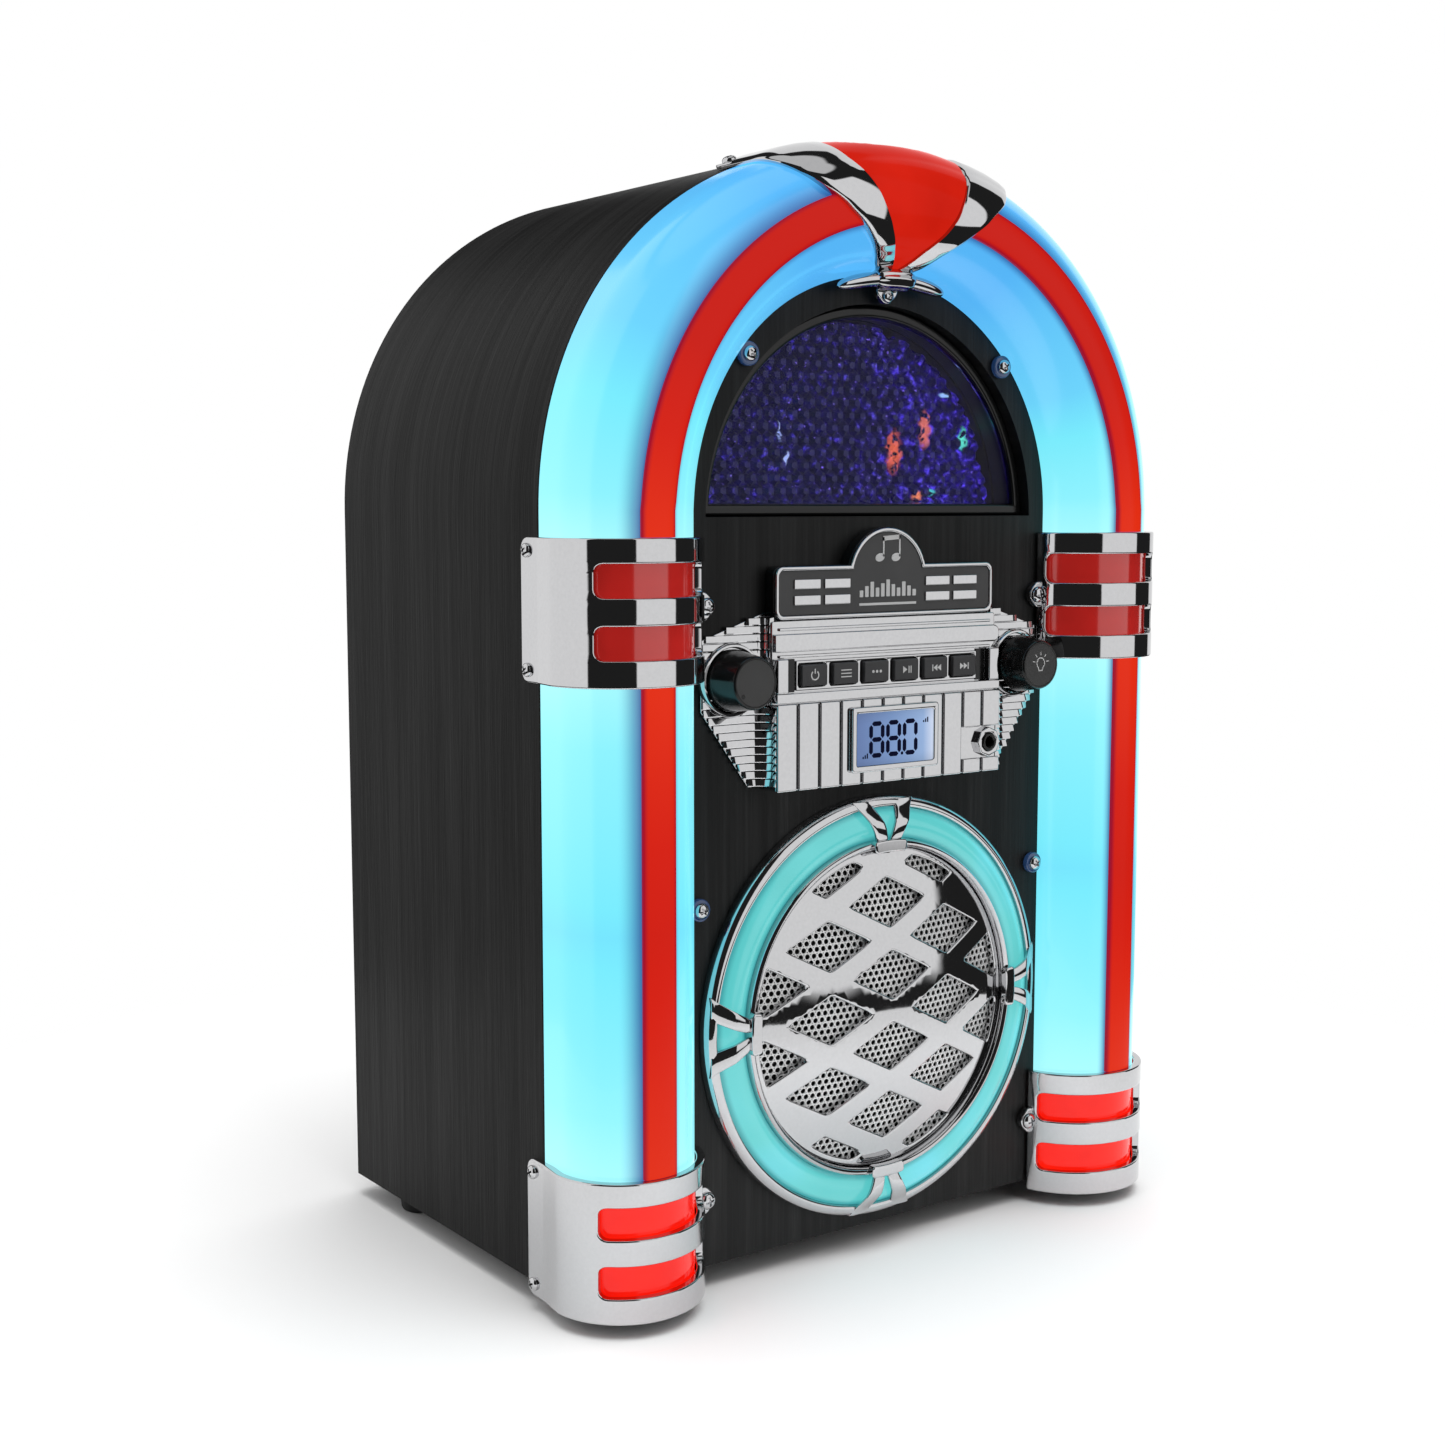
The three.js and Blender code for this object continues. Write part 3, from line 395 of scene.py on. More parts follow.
def lit(base, **sockets):
    """Sockets of a lamp-lit plastic: its own colour under the light that it gives off."""
    return {"Base Color": base, "Emission Strength": 1.0, **sockets}


def glossiness(level):
    return {"Specular IOR Level": level}


def grey_paint(low, high, *skin):
    return plastic_paint((low,) * 3, (high,) * 3, *skin)


SIDE_VENEER = material("side_veneer", "veneer", veneer_paint(0, 1, "UV"), **glossiness(0.06))
PANEL_VENEER = material("panel_veneer", "veneer", veneer_paint(0, 2, "Object"), **glossiness(0.2))
CHROME = material("chrome", "chrome", chrome_paint, Metallic=1.0)
BLUE_LENS = material("blue_lens", "blue_lens", blue_lens_paint,
                     **lit((0.01, 0.05, 0.09), **{"Coat Weight": 0.15}))
TAB = material("lens_tab", "blue_lens", even_glow_paint((0.003, 0.008, 0.03), (0.01, 0.03, 0.08)),
               **lit((0.02, 0.04, 0.1), **{"Coat Weight": 0.6}))
RED_STRIPE = material("red_stripe", "red_lens", red_glow_paint,
                      **lit((0.02, 0.001, 0.001), **glossiness(0.08)))
UPPER_RED = material("upper_red", "red_lens", even_glow_paint((0.2, 0.008, 0.006), (0.26, 0.01, 0.008)),
                     **lit((0.42, 0.012, 0.01), **{"Coat Weight": 0.7, "Coat Roughness": 0.05}))
LOWER_RED = material("lower_red", "red_lens", even_glow_paint((0.85, 0.006, 0.002), (1.0, 0.012, 0.003)),
                     **lit((0.1, 0.002, 0.001), **{"Coat Weight": 0.15}, **glossiness(0.3)))
CROWN_RED = material("crown_red", "red_lens", even_glow_paint((0.56, 0.011, 0.004), (0.66, 0.015, 0.006)),
                     **lit((0.03, 0.002, 0.001), **glossiness(0.02)))
TURQUOISE = material("turquoise", "turquoise_lens", turquoise_paint,
                     **lit((0.03, 0.12, 0.12), **{"Coat Weight": 0.4}))
GLOSS_BLACK = material("gloss_black", "black_plastic", grey_paint(0.005, 0.008, 0.2), **glossiness(0.35))
SATIN_BLACK = material("satin_black", "black_plastic", grey_paint(0.009, 0.016, 0.38))
KNOB_FACE = material("knob_face", "black_plastic", grey_paint(0.035, 0.05, 0.5))
SIGN_DARK = material("sign_dark", "black_plastic",
                     plastic_paint((0.03, 0.03, 0.031), (0.045, 0.045, 0.046), 0.32))
BUTTON_GREY = material("button_grey", "grey_plastic",
                       plastic_paint((0.028, 0.028, 0.03), (0.04, 0.04, 0.042), 0.42))
INK = material("ink", "grey_plastic", grey_paint(0.55, 0.65, 0.6))
SEGMENT_DARK = material("segment_dark", "display",
                        plastic_paint((0.002, 0.003, 0.02), (0.003, 0.005, 0.03), 0.5), **glossiness(0.05))
RUBBER = material("rubber", "rubber", grey_paint(0.008, 0.014, 0.85, 700, 0.0002))
DISPLAY = material("display", "display", display_paint,
                   **{"Base Color": (0.05, 0.07, 0.12), "Emission Strength": 0.9, "Roughness": 0.12})
# The reflector is no lamp: its glow is painted light that stands in for the coloured lamps it reflects.
REFLECTOR = material("reflector", "reflector", reflector_paint, **lit((0.012, 0.01, 0.08), Metallic=0.5))
CLEAR = material("clear_lens", "clear_lens",
                 lambda sheet: {"Roughness": sheet.scaled(sheet.cloud(60), 0.0, 0.05)},
                 **{"Base Color": (0.86, 0.87, 0.95), "Transmission Weight": 1.0, "IOR": 1.15})
STEEL = material("steel", "steel", steel_paint, Metallic=1.0)
BOARD = material("board", "circuit_board", board_paint, Roughness=0.4)
FIBRE = material("fibreboard", "fibreboard", fibre_paint)
SHEET_METAL = material("sheet_metal", "steel", grey_paint(0.84, 0.94, 0.4, 900), Metallic=0.4)
CONE_PAPER = material("cone_paper", "paper", grey_paint(0.01, 0.02, 0.9, 900, 0.0003))

# ---------------- pieces


def flatten(point):
    """Moves a point down with the flattened top of the arch, as the cabinet's own top is."""
    rise = point.z - SPRING
    radius = math.hypot(point.x, rise)
    share = min(1, 1 - (R - radius) / CREST_IN)
    if rise > 0 and share > 0:
        factor = 1 - ARCH_FLAT * (rise / radius) ** 4 * share / radius
        point.x *= factor
        point.z = SPRING + rise * factor


def linked(name, data):
    """A new object of the data, in the scene."""
    made = bpy.data.objects.new(name, data)
    bpy.context.scene.collection.objects.link(made)
    return made


def evaluated(holder):
    """The object's mesh with its modifiers done. The object itself is removed."""
    depsgraph = bpy.context.evaluated_depsgraph_get()
    made = bpy.data.meshes.new_from_object(holder.evaluated_get(depsgraph))
    bpy.data.objects.remove(holder)
    return made


def even_shading(mesh):
    """The mesh with normals weighted by area, so that flat faces shade flat beside their rounded edges."""
    holder = linked("shading", mesh)
    holder.modifiers.new("weighted", "WEIGHTED_NORMAL").keep_sharp = True
    return evaluated(holder)


def settle(name, mesh, finish, body="cabinet", hides=(), sharp=32):
    """Makes a piece of a mesh in the jukebox's millimetres, and hands it to the frame."""
    for vert in mesh.vertices:
        flatten(vert.co)
    mesh.transform(Matrix.Translation(ORIGIN) @ Matrix.Scale(MM, 4))
    mesh.shade_smooth()
    mesh.set_sharp_from_angle(angle=math.radians(sharp))
    mesh.materials.clear()
    mesh.materials.append(finish)
    piece = linked(name, even_shading(mesh))
    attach(piece, body)
    if hides:
        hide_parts(*hides)


def closed_up(bm):
    """Joins the corners that meet and turns the faces outwards."""
    bmesh.ops.remove_doubles(bm, verts=bm.verts, dist=0.001)
    bmesh.ops.recalc_face_normals(bm, faces=bm.faces)


def mesh_of(bm, name):
    """Turns a bmesh in millimetres into a mesh with its normals outwards."""
    closed_up(bm)
    mesh = bpy.data.meshes.new(name)
    bm.to_mesh(mesh)
    bm.free()
    return mesh


def soften(bm, width):
    """Rounds every sharp edge."""
    closed_up(bm)
    sharp = [e for e in bm.edges if len(e.link_faces) == 2 and e.calc_face_angle(0) > math.radians(35)]
    bmesh.ops.bevel(bm, geom=sharp, offset=width, segments=3, profile=0.5, affect="EDGES", clamp_overlap=True)


def loft(name, rings, finish, uv=None, closed=False, edge=0.0, **options):
    """Joins rings of points into one skin, with flat ends unless closed. uv(i, j) is of ring i, point j."""
    bm = bmesh.new()
    layer = bm.loops.layers.uv.new("UVMap") if uv else None
    verts = [[bm.verts.new(p) for p in ring] for ring in rings]
    count = len(rings[0])
    spans = len(rings) if closed else len(rings) - 1
    for i in range(spans):
        k = (i + 1) % len(rings)
        for j in range(count):
            m = (j + 1) % count
            face = bm.faces.new([verts[i][j], verts[i][m], verts[k][m], verts[k][j]])
            if layer:
                for loop, at in zip(face.loops, ((i, j), (i, m), (k, m), (k, j))):
                    loop[layer].uv = uv(*at)
    if not closed:
        bm.faces.new(verts[0])
        bm.faces.new(reversed(verts[-1]))
    if edge:
        soften(bm, edge)
    settle(name, mesh_of(bm, name), finish, **options)


def turned(name, profile, finish, x, z, segments, **options):
    """Turns a closed profile of (radius, y) points about a line along Y."""
    rings = [[(x + r * math.cos(a), y, z + r * math.sin(a)) for r, y in profile] for a in turns(segments)]
    loft(name, rings, finish, closed=True, **options)


def rounded(corners, radius, steps=5):
    """A polygon with each corner rounded. A corner may be (x, z) or (x, z, its own radius)."""
    points = []
    count = len(corners)
    for i, corner in enumerate(corners):
        at = Vector(corner[:2])
        before = Vector(corners[i - 1][:2]) - at
        after = Vector(corners[(i + 1) % count][:2]) - at
        wanted = corner[2] if len(corner) > 2 else radius
        half = before.angle(after) / 2
        if wanted <= 0 or abs(half - math.pi / 2) < 0.02:
            points.append(tuple(at))
            continue
        reach = min(wanted / math.tan(half), before.length * 0.48, after.length * 0.48)
        r = reach * math.tan(half)
        start = at + before.normalized() * reach
        end = at + after.normalized() * reach
        centre = at + (before.normalized() + after.normalized()).normalized() * (r / math.sin(half))
        a, b = start - centre, end - centre
        turn = a.angle_signed(b)
        for k in range(steps + 1):
            spin = Matrix.Rotation(-turn * k / steps, 2)
            points.append(tuple(centre + spin @ a))
    return points


def rectangle(x0, x1, z0, z1, radius=0.0, steps=5):
    return rounded([(x0, z0), (x1, z0), (x1, z1), (x0, z1)], radius, steps)


def box_round(x, z, half_x, half_z, radius=0.0, steps=5):
    """A rectangle given by its middle and its half sizes."""
    return rectangle(x - half_x, x + half_x, z - half_z, z + half_z, radius, steps)


def mirrored(side, near, far):
    """Two distances from the middle, as x from low to high on one side."""
    return sorted((side * near, side * far))


def turns(count):
    """Angles round a full turn."""
    return [2 * math.pi * i / count for i in range(count)]


def arc(x, z, radius, start, end, steps):
    """Points on an arc, with angles in degrees from +X towards +Z."""
    angles = [math.radians(angle) for angle in steps_between(start, end, steps)]
    return [(x + radius * math.cos(a), z + radius * math.sin(a)) for a in angles]


def circle(x, z, radius, steps=48):
    return arc(x, z, radius, 0, 360, steps)[:-1]


def slab(outlines, thickness, edge=0.0, edge_steps=2):
    """A flat plate as a bmesh, y from 0 to thickness. The first outline is its rim, the rest are holes."""
    curve = bpy.data.curves.new("slab", "CURVE")
    curve.dimensions = "2D"
    curve.fill_mode = "BOTH"
    curve.extrude = thickness / 2 - edge
    curve.bevel_depth = edge
    curve.bevel_resolution = edge_steps
    curve.offset = -edge
    for outline in outlines:
        spline = curve.splines.new("POLY")
        spline.points.add(len(outline) - 1)
        for point, (x, z) in zip(spline.points, outline):
            point.co = (x, z, 0, 1)
        spline.use_cyclic_u = True
    holder = bpy.data.objects.new("slab", curve)
    mesh = bpy.data.meshes.new_from_object(holder)
    bm = bmesh.new()
    bm.from_mesh(mesh)
    for vert in bm.verts:
        x, z, depth = vert.co
        vert.co = (x, thickness / 2 - depth, z)
    bpy.data.objects.remove(holder)
    bpy.data.curves.remove(curve)
    bpy.data.meshes.remove(mesh)
    bmesh.ops.remove_doubles(bm, verts=bm.verts, dist=0.001)
    return bm


def plate(name, outlines, y_front, y_back, finish, edge=0.0, edge_steps=2, **options):
    """A flat plate facing the front."""
    bm = slab(outlines, y_back - y_front, edge, edge_steps)
    for vert in bm.verts:
        vert.co.y += y_front
    settle(name, mesh_of(bm, name), finish, **options)


def hexagons(pitch, reach):
    """Middles of six-sided cells, row by row, over at least a disc."""
    row_pitch = pitch * 0.866
    rows, columns = int(reach / row_pitch) + 2, int(reach / pitch) + 2
    for row in range(-rows, rows):
        for column in range(-columns, columns + 1):
            yield (column + 0.5 * (row % 2)) * pitch, row * row_pitch


def slice_at(bm, axis, values):
    """Cuts the mesh at planes across an axis, so that it can be bent between them."""
    normal = Vector((0, 0, 0))
    normal[axis] = 1
    for value in values:
        geometry = bm.verts[:] + bm.edges[:] + bm.faces[:]
        bmesh.ops.bisect_plane(bm, geom=geometry, dist=1e-5, plane_co=normal * value, plane_no=normal)


def bent(name, outlines, thickness, finish, bend, cuts_x=(), cuts_z=(), edge=0.0, edge_steps=2, **options):
    """A flat plate cut into strips, then every point moved by bend(x, depth, z)."""
    bm = slab(outlines, thickness, edge, edge_steps)
    slice_at(bm, 0, cuts_x)
    slice_at(bm, 2, cuts_z)
    for vert in bm.verts:
        vert.co = bend(*vert.co)
    settle(name, mesh_of(bm, name), finish, **options)


def steps_between(low, high, count):
    return [low + (high - low) * i / count for i in range(count + 1)]


# ---------------- the tube's section

OUTER_ARC = CREST_IN * math.pi / 2


def tube_point(s, offset):
    """(forward, inward) at a distance s from the crest along the section, negative towards the side."""
    if s < -OUTER_ARC:
        return CREST_OUT - CREST_IN + (s + OUTER_ARC), -offset
    radius = CREST_IN if s < 0 else INNER_RISE
    angle = s / radius
    centre = CREST_OUT - radius
    return centre + (radius + offset) * math.cos(angle), CREST_IN + (radius + offset) * math.sin(angle)


def tube_end(offset, forward):
    """The distance from the crest at which the inner side comes down to a forward distance."""
    return INNER_RISE * math.acos((forward - CREST_OUT + INNER_RISE) / (INNER_RISE + offset))


def tube_rear(y):
    """The distance from the crest, on the cabinet's side, of a point at y."""
    return -OUTER_ARC - (y - CREST_IN + CREST_OUT)


def stations(bottom_z):
    """Places along the arch: (x, z, inward x, inward z, length so far), from the left foot to the right."""
    leg = SPRING - bottom_z
    made = [(-R, bottom_z, 1, 0, 0.0)]
    for a in steps_between(math.pi, 0, 112):
        along = leg + R * (math.pi - a)
        made.append((R * math.cos(a), SPRING + R * math.sin(a), -math.cos(a), -math.sin(a), along))
    made.append((R, bottom_z, -1, 0, 2 * leg + math.pi * R))
    return made


ARCH_FADE = 1.4  # the arch darkens this much faster than the columns


def tube_sweep(name, section, bottom_z, finish, **options):
    """Sweeps (distance from crest, offset) points over the arch. Its top stays under the crown's."""
    line = stations(bottom_z)
    total = line[-1][4]
    rings = []
    for x, z, in_x, in_z, _ in line:
        ring = []
        for forward, inward in (tube_point(s, offset) for s, offset in section):
            inward = lean(inward, -in_z)
            ring.append((x + in_x * inward, -forward, min(z + in_z * inward, CROWN_CHORD - 1)))
        rings.append(ring)

    def uv(i, j):
        return 0.5 + section[j][0] / 100, min(line[i][4], total - line[i][4]) * ARCH_FADE / 100

    loft(name, rings, finish, uv=uv, **options)


def tube_column(name, section, side, z0, z1, finish, rows=24, **options):
    """Runs (distance from crest, offset) points straight up one side."""
    levels = steps_between(z0, z1, rows)
    flat = [tube_point(s, offset) for s, offset in section]
    rings = [[(side * (R - inward), -forward, z) for forward, inward in flat] for z in levels]

    def uv(i, j):
        return 0.5 + section[j][0] / 100, min(levels[i] - z0, z1 - levels[i]) / 100

    loft(name, rings, finish, uv=uv, **options)


def lean(inward, slope):
    """An inward distance moved with the leaning crest; slope is the sine of the angle round the arch."""
    if slope <= 0 or inward <= 0 or inward >= INNER_EDGE:
        return inward
    share = min(inward / CREST_IN, (INNER_EDGE - inward) / (INNER_EDGE - CREST_IN))
    return inward + CREST_LEAN * slope**0.6 * share


LENS_LINE = steps_between(tube_rear(SHELL_FRONT - 0.3), tube_end(0, 0.3), 40)
LENS = [(s, 0) for s in LENS_LINE] + [(s, -TUBE_WALL) for s in reversed(LENS_LINE)]


def stripe_section():
    top = [(s, STRIPE_RISE) for s in steps_between(-STRIPE_HALF + 0.6, STRIPE_HALF - 0.6, 8)]
    sides = [(STRIPE_HALF - 0.15, STRIPE_RISE - 0.2), (STRIPE_HALF, STRIPE_RISE - 0.65), (STRIPE_HALF, 0.1)]
    under = [(s, 0.1) for s in steps_between(STRIPE_HALF, -STRIPE_HALF, 8)][1:-1]
    left = [(-s, offset) for s, offset in reversed(sides)]
    return top + sides + under + left


# ---------------- screws

SCREW_R = 2.5


def screw_mesh():
    """A pan head with a cross recess, its seat at z = 0 and its crown towards +z, in millimetres."""
    bm = bmesh.new()
    profile = [(0, 1.75), (0.9, 1.72), (1.7, 1.5), (2.25, 1.05), (SCREW_R, 0.5), (SCREW_R, 0), (0, 0)]
    segments = 32
    for (ra, za), (rb, zb) in zip(profile, profile[1:]):
        for i in range(segments):
            a, b = (2 * math.pi * k / segments for k in (i, i + 1))
            corners = [(ra * math.cos(a), ra * math.sin(a), za), (rb * math.cos(a), rb * math.sin(a), zb),
                       (rb * math.cos(b), rb * math.sin(b), zb), (ra * math.cos(b), ra * math.sin(b), za)]
            unique = [c for k, c in enumerate(corners) if c != corners[k - 1]]
            if len(unique) > 2:
                bm.faces.new([bm.verts.new(c) for c in unique])
    holder = linked("screw_head", mesh_of(bm, "screw_head"))
    arm, half = 1.45, 0.34
    cross = [(-arm, -half), (-half, -half), (-half, -arm), (half, -arm), (half, -half), (arm, -half),
             (arm, half), (half, half), (half, arm), (-half, arm), (-half, half), (-arm, half)]
    cutter = bmesh.new()
    floor_ring, top_ring = ([cutter.verts.new((x, y, z)) for x, y in cross] for z in (0.75, 3.0))
    cutter.faces.new(floor_ring)
    cutter.faces.new(top_ring)
    for k in range(len(cross)):
        cutter.faces.new([floor_ring[k - 1], floor_ring[k], top_ring[k], top_ring[k - 1]])
    tool = linked("screw_tool", mesh_of(cutter, "screw_tool"))
    carve = holder.modifiers.new("cross", "BOOLEAN")
    carve.object = tool
    carve.solver = "EXACT"
    made = evaluated(holder)
    bpy.data.objects.remove(tool)
    bm = bmesh.new()
    bm.from_mesh(made)
    bmesh.ops.remove_doubles(bm, verts=bm.verts, dist=0.002)
    bmesh.ops.dissolve_degenerate(bm, edges=bm.edges, dist=0.002)
    bm.to_mesh(made)
    bm.free()
    return made


SCREW = screw_mesh()


def screw(name, at, facing, size=1.0, turn=20, finish=CHROME):
    """A screw whose head faces a direction, at a point in the jukebox's millimetres."""
    mesh = SCREW.copy()
    aim = Vector(facing).to_track_quat("Z", "Y").to_matrix().to_4x4()
    spin = Matrix.Rotation(math.radians(turn), 4, "Z")
    mesh.transform(Matrix.Translation(at) @ aim @ spin @ Matrix.Scale(size, 4))
    settle(name, mesh, finish, sharp=28)


# ---------------- cabinet


def arch_path(inset, bottom, steps=96):
    """The cabinet's outline as (x, z, length along it), from the left foot to the right."""
    r = R - inset
    points = [(-r, bottom), *arc(0, SPRING, r, 180, 0, steps), (r, bottom)]
    lengths = [0.0]
    for a, b in zip(points, points[1:]):
        lengths.append(lengths[-1] + math.dist(a, b))
    return [(x, z, along) for (x, z), along in zip(points, lengths)]


def cabinet_body():
    """The wrapped side and top, with softened edges, and the board that closes it underneath."""
    wall, lip = 9.0, 0.7
    front, back = SHELL_FRONT, SHELL_BACK
    outside = [(0, front + lip), (0, back - lip), (lip * 0.3, back - lip * 0.3), (lip, back)]
    section = outside + [(wall, back), (wall, front), (lip, front), (lip * 0.3, front + lip * 0.3)]
    paths = {inset: arch_path(inset, 0) for inset, _ in section}
    count = len(paths[0])
    rings = [[(paths[inset][i][0], y, paths[inset][i][1]) for inset, y in section] for i in range(count)]
    along = [point[2] for point in paths[0]]

    def uv(i, j):
        return section[j][1] * MM, along[i] * MM

    loft("cabinet_wrap", rings, SIDE_VENEER, uv=uv, hides=["cabinet_shell"])
    floor_half = R - 9.2
    plate("cabinet_floor", [rectangle(-floor_half, floor_half, 0.2, 9.0)], front, back - 0.2, PANEL_VENEER)


def feet():
    """Turned rubber pads, each held by a screw sunk in its middle."""
    profile = [(0.01, -0.3), (7.6, -0.3), (8, -0.8), (7.4, -6.6), (6.9, -7.6), (6.2, -8), (3.4, -8),
               (3.1, -7.6), (3.1, -4.5), (0.01, -4.5)]
    for _, side_name in SIDES:
        for end in ("front", "rear"):
            node = f"foot_{end}_{side_name}"
            middle = middle_mm(node)
            rings = [[(middle.x + r * math.cos(a), middle.y + r * math.sin(a), z) for r, z in profile]
                     for a in turns(40)]
            loft(f"{node}_pad", rings, RUBBER, closed=True, hides=[node])
            screw(f"{node}_screw", (middle.x, middle.y, -4.6), (0, 0, -1), 0.9, finish=STEEL)


def tubes():
    arch_foot = UPPER_CUFF_Z + CUFF_HEIGHT - CUFF_TUCK
    column_low = LOWER_CUFF_Z + CUFF_HEIGHT - CUFF_TUCK
    column_high = UPPER_CUFF_Z + CUFF_TUCK
    stripe = stripe_section()
    tube_sweep("arch_tube", LENS, arch_foot, BLUE_LENS, hides=["arch_lens"])
    tube_sweep("arch_red_line", stripe, arch_foot + CUFF_TUCK + 0.1, RED_STRIPE, hides=["arch_stripe"])
    for side, name in SIDES:
        tube_column(f"column_tube_{name}", LENS, side, column_low, column_high, BLUE_LENS,
                    hides=[f"column_lens_{name}"])
        tube_column(f"column_red_line_{name}", stripe, side, column_low + CUFF_TUCK + 0.1,
                    column_high - CUFF_TUCK - 0.1, RED_STRIPE, hides=[f"column_stripe_{name}"])
        tube_column(f"upper_red_{name}", LENS, side, column_high + 0.3, arch_foot - 0.3, UPPER_RED, rows=2,
                    hides=[f"upper_insert_{name}"])
        tube_column(f"lower_red_{name}", LENS, side, LOWER_CUFF_Z + 3.4, column_low - 0.3, LOWER_RED, rows=2,
                    hides=[f"lower_insert_{name}"])
        tube_column(f"cuff_base_{name}", [(s, 0) for s in LENS_LINE], side, LOWER_CUFF_Z + 1.2,
                    LOWER_CUFF_Z + 3.2, SATIN_BLACK, rows=1)


def lens_tabs():
    """Screwed ears that hold the tubes to the front panel."""
    for side, name in SIDES:
        for where, x, z, radius in (("arch", 54.6, 295.2, 3.9), ("column", 73.6, 119, 3.7)):
            outline = [circle(side * x, z, radius, 32)]
            plate(f"{where}_tab_{name}", outline, -2.2, -0.1, TAB, edge=0.5)
            screw(f"{where}_tab_screw_{name}", (side * x, -2.2, z), (0, -1, 0), 1.0, 35)


# ---------------- cuffs


def cuff(name, side, bottom, lug_z, node):
    """A chromed band over the tube's foot or shoulder, with two slots and a screwed ear."""
    rear = tube_rear(CUFF_REAR)
    inner = tube_end(CUFF_PROUD - CUFF_WALL / 2, 0.4)
    slot_rear = tube_rear(-7.5) + 4.5
    slot_front = inner - 3.4
    corners = [(rear, 0, 3.6), (inner, 0, 0.6), (inner, CUFF_HEIGHT, 0.6), (rear, CUFF_HEIGHT, 3.6)]
    outlines = [rounded(corners, 1)]
    for low, high in CUFF_SLOTS:
        outlines.append(rectangle(slot_rear, slot_front, low, high, 2.6))

    def bend(s, depth, z):
        forward, inward = tube_point(s, CUFF_PROUD - depth)
        sink = min(max((-forward - 2) / 12, 0), 1) * FLANGE_SINK
        return side * (R - inward - sink), -forward, bottom + z

    cuts = steps_between(-OUTER_ARC - 10, inner, 64)
    rows = [1.2, CUFF_HEIGHT - 1.2]
    for low, high in CUFF_SLOTS:
        rows += [low - 0.8, low + 2.6, high - 2.6, high + 0.8]
    bent(name, outlines, CUFF_WALL, CHROME, bend, cuts_x=cuts, cuts_z=sorted(rows), edge=0.55, edge_steps=3,
         hides=[node], sharp=40)
    ear_x = 72.1
    ear = rounded([(side * 76.5, lug_z - 4.6), (side * ear_x, lug_z - 4.6), (side * (ear_x - 4.6), lug_z, 4),
                   (side * ear_x, lug_z + 4.6), (side * 76.5, lug_z + 4.6)], 2.5)
    plate(f"{name}_ear", [ear], -3, ON_PANEL, CHROME, edge=0.5)
    screw(f"{name}_ear_screw", (side * ear_x, -3, lug_z), (0, -1, 0), 1.15, 10)
    for place_name, z in (("low", bottom + 4), ("high", bottom + CUFF_HEIGHT - 4)):
        head = side * (R + CUFF_PROUD - FLANGE_SINK)
        screw(f"{name}_side_screw_{place_name}", (head, CUFF_REAR - 4, z), (side, 0, 0), 0.9, 30)


def cuffs():
    for side, name in SIDES:
        cuff(f"upper_band_{name}", side, UPPER_CUFF_Z, 216, f"upper_cuff_{name}")
        cuff(f"lower_band_{name}", side, LOWER_CUFF_Z, 23.5, f"lower_cuff_{name}")


# ---------------- crown

# A horn's edges as (distance from the arch's centre, degrees from the top).
HORN_INNER = ((76, 0.4), (81, 2.8), (86, 4.8), (92, 7.0), (98, 8.6), (105, 10.1), (115, 12.0), (127, 13.4))
HORN_OUTER = ((76, 4.6), (79, 7.2), (84, 9.6), (90, 12.3), (96, 14.8), (102, 17.3), (110, 20.6), (127, 25.2))


def along_edge(edge, radius):
    """The angle of a horn's edge at a distance from the arch's centre."""
    radius = min(max(radius, edge[0][0]), edge[-1][0])
    for (ra, aa), (rb, ab) in zip(edge, edge[1:]):
        if radius <= rb:
            return aa + (ab - aa) * (radius - ra) / (rb - ra)
    return edge[-1][1]


CROWN_CHORD = 369.0  # height at which the crown is cut flat, before the arch is flattened


def crown_point(s, offset, degrees, under=0.0):
    forward, inward = tube_point(s, offset)
    a = math.radians(degrees)
    radius = R - lean(inward, math.cos(a))
    return radius * math.sin(a), -forward, min(SPRING + radius * math.cos(a), CROWN_CHORD - under)


def crown_radius(s):
    return R - tube_point(s, 3.0)[1]


def crown_rise(s):
    """How far the crown stands off the tube: most over the red line, and least on the cabinet's side."""
    return 1.3 + 1.7 * max(0, 1 - (s / 16) ** 2)


def horn(name, side, hides):
    """One curved arm: a broad, gently rounded strap with a steep outer wall, from the clip to the top."""
    across = ((0.0, -0.6), (0.05, 0.7), (0.28, 1.0), (0.55, 1.1), (0.82, 0.95), (0.95, 0.6), (1.0, -0.2))
    low = 0.4
    rings = []
    for s in steps_between(tube_end(0, 0.6) - 1.0, tube_rear(19), 72):
        radius = crown_radius(s)
        inner, outer = along_edge(HORN_INNER, radius), along_edge(HORN_OUTER, radius)
        profile = [(0.0, low)] + [(t, crown_rise(s) + up) for t, up in across] + [(1.0, low)]
        rings.append([crown_point(s, offset, side * (inner + (outer - inner) * t)) for t, offset in profile])
    loft(name, rings, CHROME, hides=hides, sharp=50)


